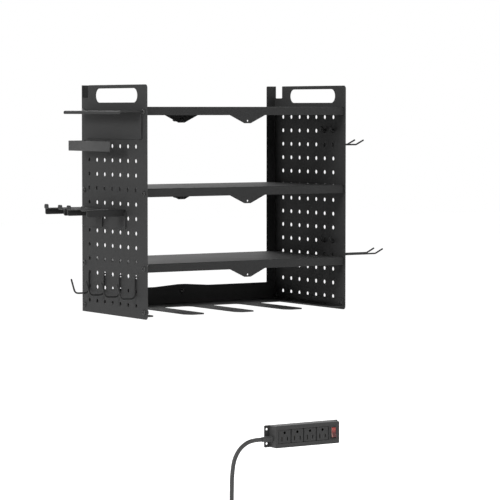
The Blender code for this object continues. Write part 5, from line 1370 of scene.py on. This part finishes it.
# %% Base and cover
EAR_LENGTH, BASE_SHEET = 0.0112, 0.0015
COVER_WALL, COVER_EDGE, COVER_CORNER = 0.0020, 0.0010, 0.0022
WINDOW_EDGE, WINDOW_CORNER, SWITCH_HOLE_CORNER = 0.0004, 0.0008, 0.0006
EAR_HOLE_RADIUS, EAR_HOLE_INSET = 0.0022, 0.0075
OUTLET_COUNT, OUTLET_PITCH, OUTLET_HEIGHT, OUTLET_GROOVE = 4, 0.0292, 0.0263, 0.0018
OUTLET_FIRST, OUTLET_RECESS, OUTLET_DEPTH, OUTLET_WALL = 0.0065, 0.0006, 0.0130, 0.0010
SWITCH_WIDTH, SWITCH_HEIGHT, SWITCH_INSET = 0.0126, 0.0236, 0.0142
SWITCH_X = STRIP_X + STRIP_LENGTH / 2 - SWITCH_INSET
OUTLETS_LEFT = STRIP_X - STRIP_LENGTH / 2 + OUTLET_FIRST
OUTLETS_RIGHT = OUTLETS_LEFT + OUTLET_COUNT * OUTLET_PITCH


def ear_places():
    """Two holes in the middle of each ear, the right ear's first."""
    across, along = STRIP_WIDTH / 2 - EAR_HOLE_INSET, STRIP_LENGTH / 2 + EAR_LENGTH / 2
    return [(STRIP_X + a * along, STRIP_Z + b * across) for a, b in product((1, -1), repeat=2)]


def around_strip(half_u, half_v, u=STRIP_X, v=STRIP_Z):
    """The corners of a rectangle from its middle and its half sizes."""
    return (u - half_u, v - half_v), (u + half_u, v + half_v)


def strip_base():
    """A plate as long as the housing and both ears."""
    ring = oblong(*around_strip(STRIP_LENGTH / 2 + EAR_LENGTH, STRIP_WIDTH / 2), CORNER, 5)
    holes = [disc(x, z, EAR_HOLE_RADIUS, 24) for x, z in ear_places()]
    return sheet(ring, holes, rim(BASE_SHEET / 2, RIM)).placed(FROM_FRONT, (0, -BASE_SHEET / 2, 0))


def walled(wall, back, face, edge, steps=4):
    """Rows from the inner face down inside the wall, round its rear rim, up to the outer face."""
    rear_edge = 0.0002
    inner = [(wall, face - wall), (wall, back), (rear_edge, back), (0, back + rear_edge)]
    return np.vstack((inner, far_edge(edge, face, steps)))


def strip_cover():
    """The housing's outline, with a window for the outlets and one for the switch."""
    ring = oblong(*around_strip(STRIP_LENGTH / 2, STRIP_WIDTH / 2), COVER_CORNER, 6)
    back = soft(WINDOW_EDGE, 2) + (0, STRIP_DEPTH - COVER_WALL)
    front = far_edge(WINDOW_EDGE, STRIP_DEPTH, 2)
    low = (OUTLETS_LEFT, STRIP_Z - OUTLET_HEIGHT / 2)
    high = (OUTLETS_RIGHT, STRIP_Z + OUTLET_HEIGHT / 2)
    switch = around_strip(SWITCH_WIDTH / 2 + SEAT_GAP, SWITCH_HEIGHT / 2 + SEAT_GAP, SWITCH_X)
    holes = [oblong(low, high, WINDOW_CORNER, 4), oblong(*switch, SWITCH_HOLE_CORNER, 3)]
    rows = walled(COVER_WALL, BASE_SHEET + SEAT_GAP, STRIP_DEPTH, COVER_EDGE)
    return sheet(ring, holes, rows, np.vstack((back, front))).placed(FROM_FRONT)


piece("strip_base_plate", strip_base(), HOUSING, ["strip_base"])
piece("strip_cover_shell", strip_cover(), HOUSING, ["strip_cover"])
stand, into_wall = BASE_SHEET + SEAT_GAP, 0.020
reach = stand + into_wall
screw = wall_screw(radius=0.0017, head_radius=0.0034, head=0.0020, length=reach, point=0.004)
for name, (x, z) in zip(("upper", "lower"), ear_places()):
    placed = screw.placed(FROM_FRONT, (x, -stand, z))
    piece(f"ear_screw_{name}_thread", placed, BLACK_STEEL, [f"ear_screw_{name}"])
print("housing made")

# %% [markdown]
# ## Outlets
# Each outlet is a cup: a face with a long and a short blade slot and a round ground hole, on four
# walls. The slots have a small lead-in so that a plug finds them. It is made as the cover is, with
# other sizes, because the slots have to be open down to the brass behind.

# %% Outlets
BLADES_BELOW_MIDDLE = 0.0045
BLADE_Z = STRIP_Z - BLADES_BELOW_MIDDLE
GROUND_Z = BLADE_Z + GROUND_ABOVE_BLADES
SLOT_WIDTH, LIVE_LENGTH, NEUTRAL_LENGTH, SLOT_LEAD_IN = 0.0019, 0.0071, 0.0087, 0.00035
GROUND_RADIUS, SLOT_CORNER, OUTLET_CORNER, OUTLET_EDGE = 0.0026, 0.0002, 0.0012, 0.0006


def outlet(number):
    """A cup round the middle of its pitch; the blade slots stand one spacing apart."""
    x = OUTLETS_LEFT + OUTLET_PITCH * (number + 0.5)
    half_x, half_z = (OUTLET_PITCH - OUTLET_GROOVE) / 2, OUTLET_HEIGHT / 2 - SEAT_GAP
    face = STRIP_DEPTH - OUTLET_RECESS
    ring = oblong(*around_strip(half_x, half_z, x), OUTLET_CORNER, 4)
    hole_rows = np.vstack(((0, face - OUTLET_WALL), far_edge(SLOT_LEAD_IN, face, 2)))
    slots = [(x - BLADE_SPACING / 2, NEUTRAL_LENGTH), (x + BLADE_SPACING / 2, LIVE_LENGTH)]
    slots = [around_strip(SLOT_WIDTH / 2, length / 2, at, BLADE_Z) for at, length in slots]
    holes = [oblong(*slot, SLOT_CORNER, 2) for slot in slots]
    holes.append(disc(x, GROUND_Z, GROUND_RADIUS, 28))
    rows = walled(OUTLET_WALL, face - OUTLET_DEPTH, face, OUTLET_EDGE, 3)
    return sheet(ring, holes, rows, hole_rows).placed(FROM_FRONT)


for number in range(OUTLET_COUNT):
    piece(f"outlet_{number + 1}_cup", outlet(number), OUTLET, [f"outlet_{number + 1}"])
print("outlets made")

# %% [markdown]
# ## The switch
# A bezel and its cup are one stack of rounded rectangles: up the outside, over the bezel, then down
# inside to the floor. The rocker is a see-saw whose face is a shallow V, tilted as it rests, with a
# pin at each side, and it is the one piece here that moves by itself. Its side view is carried
# across its width as if it were thick sheet, which rounds its edges as well.

# %% Switch
BEZEL_OVER, BEZEL_PROUD, SWITCH_DEPTH, SWITCH_WALL = 0.00125, 0.0010, 0.0140, 0.0010
BEZEL_CORNER, BEZEL_EDGE, ROCKER_EDGE = 0.0008, 0.0006, 0.0006
ROCKER_WIDTH, ROCKER_HEIGHT, ROCKER_RISE, ROCKER_THICK = 0.0098, 0.0194, 0.0030, 0.0040
ROCKER_WEDGE, ROCKER_REST, ROCKER_SUNK = math.radians(12), math.radians(10), 0.0020
ROCKER_AXIS = (SWITCH_X, -STRIP_DEPTH + ROCKER_SUNK, STRIP_Z)


def switch_frame():
    """Rows (inset, height): outside, bezel, then inside down to the floor."""
    outline = around_strip(SWITCH_WIDTH / 2, SWITCH_HEIGHT / 2, SWITCH_X)
    base, over, wall = STRIP_DEPTH + SEAT_GAP, -BEZEL_OVER, SWITCH_WALL
    top, floor = base + BEZEL_PROUD, base - SWITCH_DEPTH
    curl, chamfer = far_edge(BEZEL_EDGE, top) + (over, 0), 0.0003
    rim_in = ((wall - chamfer, top), (wall, top - chamfer), (wall, floor + wall))
    rows = np.vstack((((0, floor), (0, base), (over, base)), curl, rim_in))
    return stack(oblong(*outline, BEZEL_CORNER, 4), rows).placed(FROM_FRONT)


def rocker_key():
    """The side view's outline, carried across the key's width with rounded rims."""
    half, crest = ROCKER_HEIGHT / 2, ROCKER_RISE + ROCKER_SUNK
    valley = crest - half * math.tan(ROCKER_WEDGE)
    flank, heel, foot = half * 0.9, ROCKER_THICK * 0.2, half * 0.3
    side = [(half, crest), (0, valley), (-half, crest), (-flank, -heel), (-foot, -ROCKER_THICK)]
    side += [(foot, -ROCKER_THICK), (flank, -heel)]
    edge, crease, belly = 0.0008, 0.012, 0.001
    radii = (edge, crease, edge, edge, belly, belly, edge)
    ring = rounded([(-out, up) for up, out in side], radii, 5)
    pin_radius, pin_in_wall = 0.0010, 0.0009
    reach = SWITCH_WIDTH / 2 - SWITCH_WALL + pin_in_wall
    pins = lathe(((pin_radius, -reach), (pin_radius, reach)), 12)
    key = sheet(ring, [], rim(ROCKER_WIDTH / 2, ROCKER_EDGE, 3)) + pins
    up, out = math.cos(-ROCKER_REST), math.sin(-ROCKER_REST)
    lean = np.array(((1, 0, 0), (0, up, -out), (0, out, up)))
    return key.placed(lean @ np.array(FROM_SIDE), ROCKER_AXIS)


piece("switch_bezel", switch_frame(), OUTLET, ["switch_frame"])
piece("rocker_key", rocker_key(), RED, ["rocker"], body="rocker")
print("switch made")

# %% [markdown]
# ## The cord's sleeve
# The cord is held by a rubber sleeve whose rings let it bend gently: they grow thinner and softer
# away from the housing. It is a turned profile whose radius carries the rings as a wave.

# %% Sleeve
def sleeve():
    """The radius falls evenly from neck to tip, less a groove that comes six times."""
    flange, flange_radius, neck, tip = 0.0026, 0.0066, 0.0056, 0.0049
    inside_wall, grooves, groove_depth = 0.006, 6, 0.0007
    rear_edge, front_edge, tip_edge = 0.0005, 0.0006, 0.0004
    rise = np.linspace(0, 1, 61)
    body = neck + (tip - neck) * rise
    groove = groove_depth * (0.5 - 0.5 * np.cos(math.tau * grooves * rise)) ** 2 * (rise > 0.02)
    rows = [(neck, -inside_wall), (neck, 0)]
    rows += [(flange_radius - rear_edge, 0), (flange_radius, rear_edge)]
    rows += [(flange_radius, flange - front_edge), (flange_radius - front_edge, flange)]
    rows += list(zip(body - groove, flange + (SLEEVE_LENGTH - flange - tip_edge) * rise))
    rows += [(tip - tip_edge, SLEEVE_LENGTH), (CORD_RADIUS, SLEEVE_LENGTH + 2 * SEAT_GAP)]
    turn = ((0, 0, -1), (0, 1, 0), (1, 0, 0))
    return lathe(rows, 32).placed(turn, (STRIP_X - STRIP_LENGTH / 2 - SEAT_GAP, *CORD_EXIT[1:]))


piece("cord_sleeve", sleeve(), CORD, ["cord_bushing"])
print("sleeve made")

# %% [markdown]
# ## What is left as it came
# A few solids hide inside the strip: the brass bars, the three leads, the lamp and the cover's two
# screws. Finer shapes would never be seen, so they keep their solids and only get a finish.

# %% Finishes for hidden solids
HIDDEN = dict.fromkeys(("hot_bar", "neutral_bar", "ground_bar"), BRASS)
HIDDEN |= dict.fromkeys(("cover_screw_left", "cover_screw_right"), ZINC)
HIDDEN |= {"pilot_lamp": LAMP, **LEADS}
for name, paint in HIDDEN.items():
    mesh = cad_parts[name].data
    mesh.materials.clear()
    mesh.materials.append(paint)
print(len(HIDDEN), "solids finished in place")

# %% [markdown]
# ## Light and floor
# The world shines evenly, and a large soft lamp on the left makes the outer side a little brighter
# than the fronts. Three more lamps serve the front, the right side and the back. A world as bright
# as the white page would wash the black steel out, so it is plain white only to the camera and in
# reflections, and lights far less. The floor lies well below, white as well, with a soft shadow.

# %% World, lamps and floor
AMBIENT = 0.22
KEY_WATTS, FILL_WATTS, SIDE_WATTS, KEY_SIZE, LAMP_SIZE = 118, 52, 60, 1.6, 2.4
KEY_TARGET, LAMP_TARGET = (0, -0.1, -0.2), (0.1, -0.1, -0.3)
FLOOR_Z, FLOOR_HALF = -0.93, 14
WHITE = (1, 1, 1, 1)


def seen_rays(paint):
    """1 for rays from the camera, from a mirror or through glass; 0 for rays that only light."""
    kinds = ("Camera", "Glossy", "Transmission")
    seen, glossy, through_glass = (
        paint.node("ShaderNodeLightPath", out=f"Is {kind} Ray") for kind in kinds
    )
    return paint.clamped(seen + glossy + through_glass, 0, 1)


def lit_world():
    """White at full strength where it is seen, and at AMBIENT where it only lights."""
    world = bpy.data.worlds.new("plain world")
    bpy.context.scene.world = world
    paint = Paint(world)
    shown = paint.node("ShaderNodeBackground", None, {"Color": WHITE, "Strength": 1.0})
    light = paint.node("ShaderNodeBackground", None, {"Color": WHITE, "Strength": AMBIENT})
    mixed = paint.node("ShaderNodeMixShader", None, {0: seen_rays(paint), 1: light, 2: shown})
    paint.join(mixed, paint.tree.nodes["World Output"].inputs["Surface"])


def lamp(name, place, target, size, watts):
    """A glowing disc of a size in metres, turned from its place to its target."""
    data = bpy.data.lights.new(name, "AREA")
    data.shape, data.size, data.energy = "DISK", size, watts
    made = bpy.data.objects.new(name, data)
    made.location = place
    made.rotation_euler = (Vector(target) - Vector(place)).to_track_quat("-Z", "Y").to_euler()
    bpy.context.scene.collection.objects.link(made)


def pale_floor():
    """A white square that also glows, but only to rays that are seen."""
    mesh = bpy.data.meshes.new("floor")
    signs = ((-1, -1), (1, -1), (1, 1), (-1, 1))
    mesh.from_pydata([(u * FLOOR_HALF, v * FLOOR_HALF, FLOOR_Z) for u, v in signs], [], [range(4)])
    paint = finish_of("pale_floor", Roughness=0.9, Specular_IOR_Level=0.1, Base_Color=grey(0.9))
    shown = paint.blend(seen_rays(paint), grey(0), grey(0.8))
    paint.feed(Emission_Strength=1.0, Emission_Color=shown)
    mesh.materials.append(paint.owner)
    floor = bpy.data.objects.new("floor", mesh)
    bpy.context.scene.collection.objects.link(floor)
    floor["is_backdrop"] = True


lit_world()
lamp("key", (-4.6, -0.8, 1.5), KEY_TARGET, KEY_SIZE, KEY_WATTS)
lamp("fill", (0.6, -4.4, 1.6), LAMP_TARGET, LAMP_SIZE, FILL_WATTS)
lamp("side", (4.4, -0.8, 1.4), LAMP_TARGET, LAMP_SIZE, SIDE_WATTS)
lamp("back", (0.8, 4.2, 1.4), LAMP_TARGET, LAMP_SIZE, SIDE_WATTS)
pale_floor()
print("world, four lamps and a floor")

# %% [markdown]
# ## Sizes
# The dressed model has to stay the size of the solids, so how far both boxes differ is printed.

# %% Sizes
low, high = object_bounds()
for name, now, cad in (("low", low, cad_low), ("high", high, cad_high)):
    print(name, [round(a - b, 4) for a, b in zip(now, cad)])
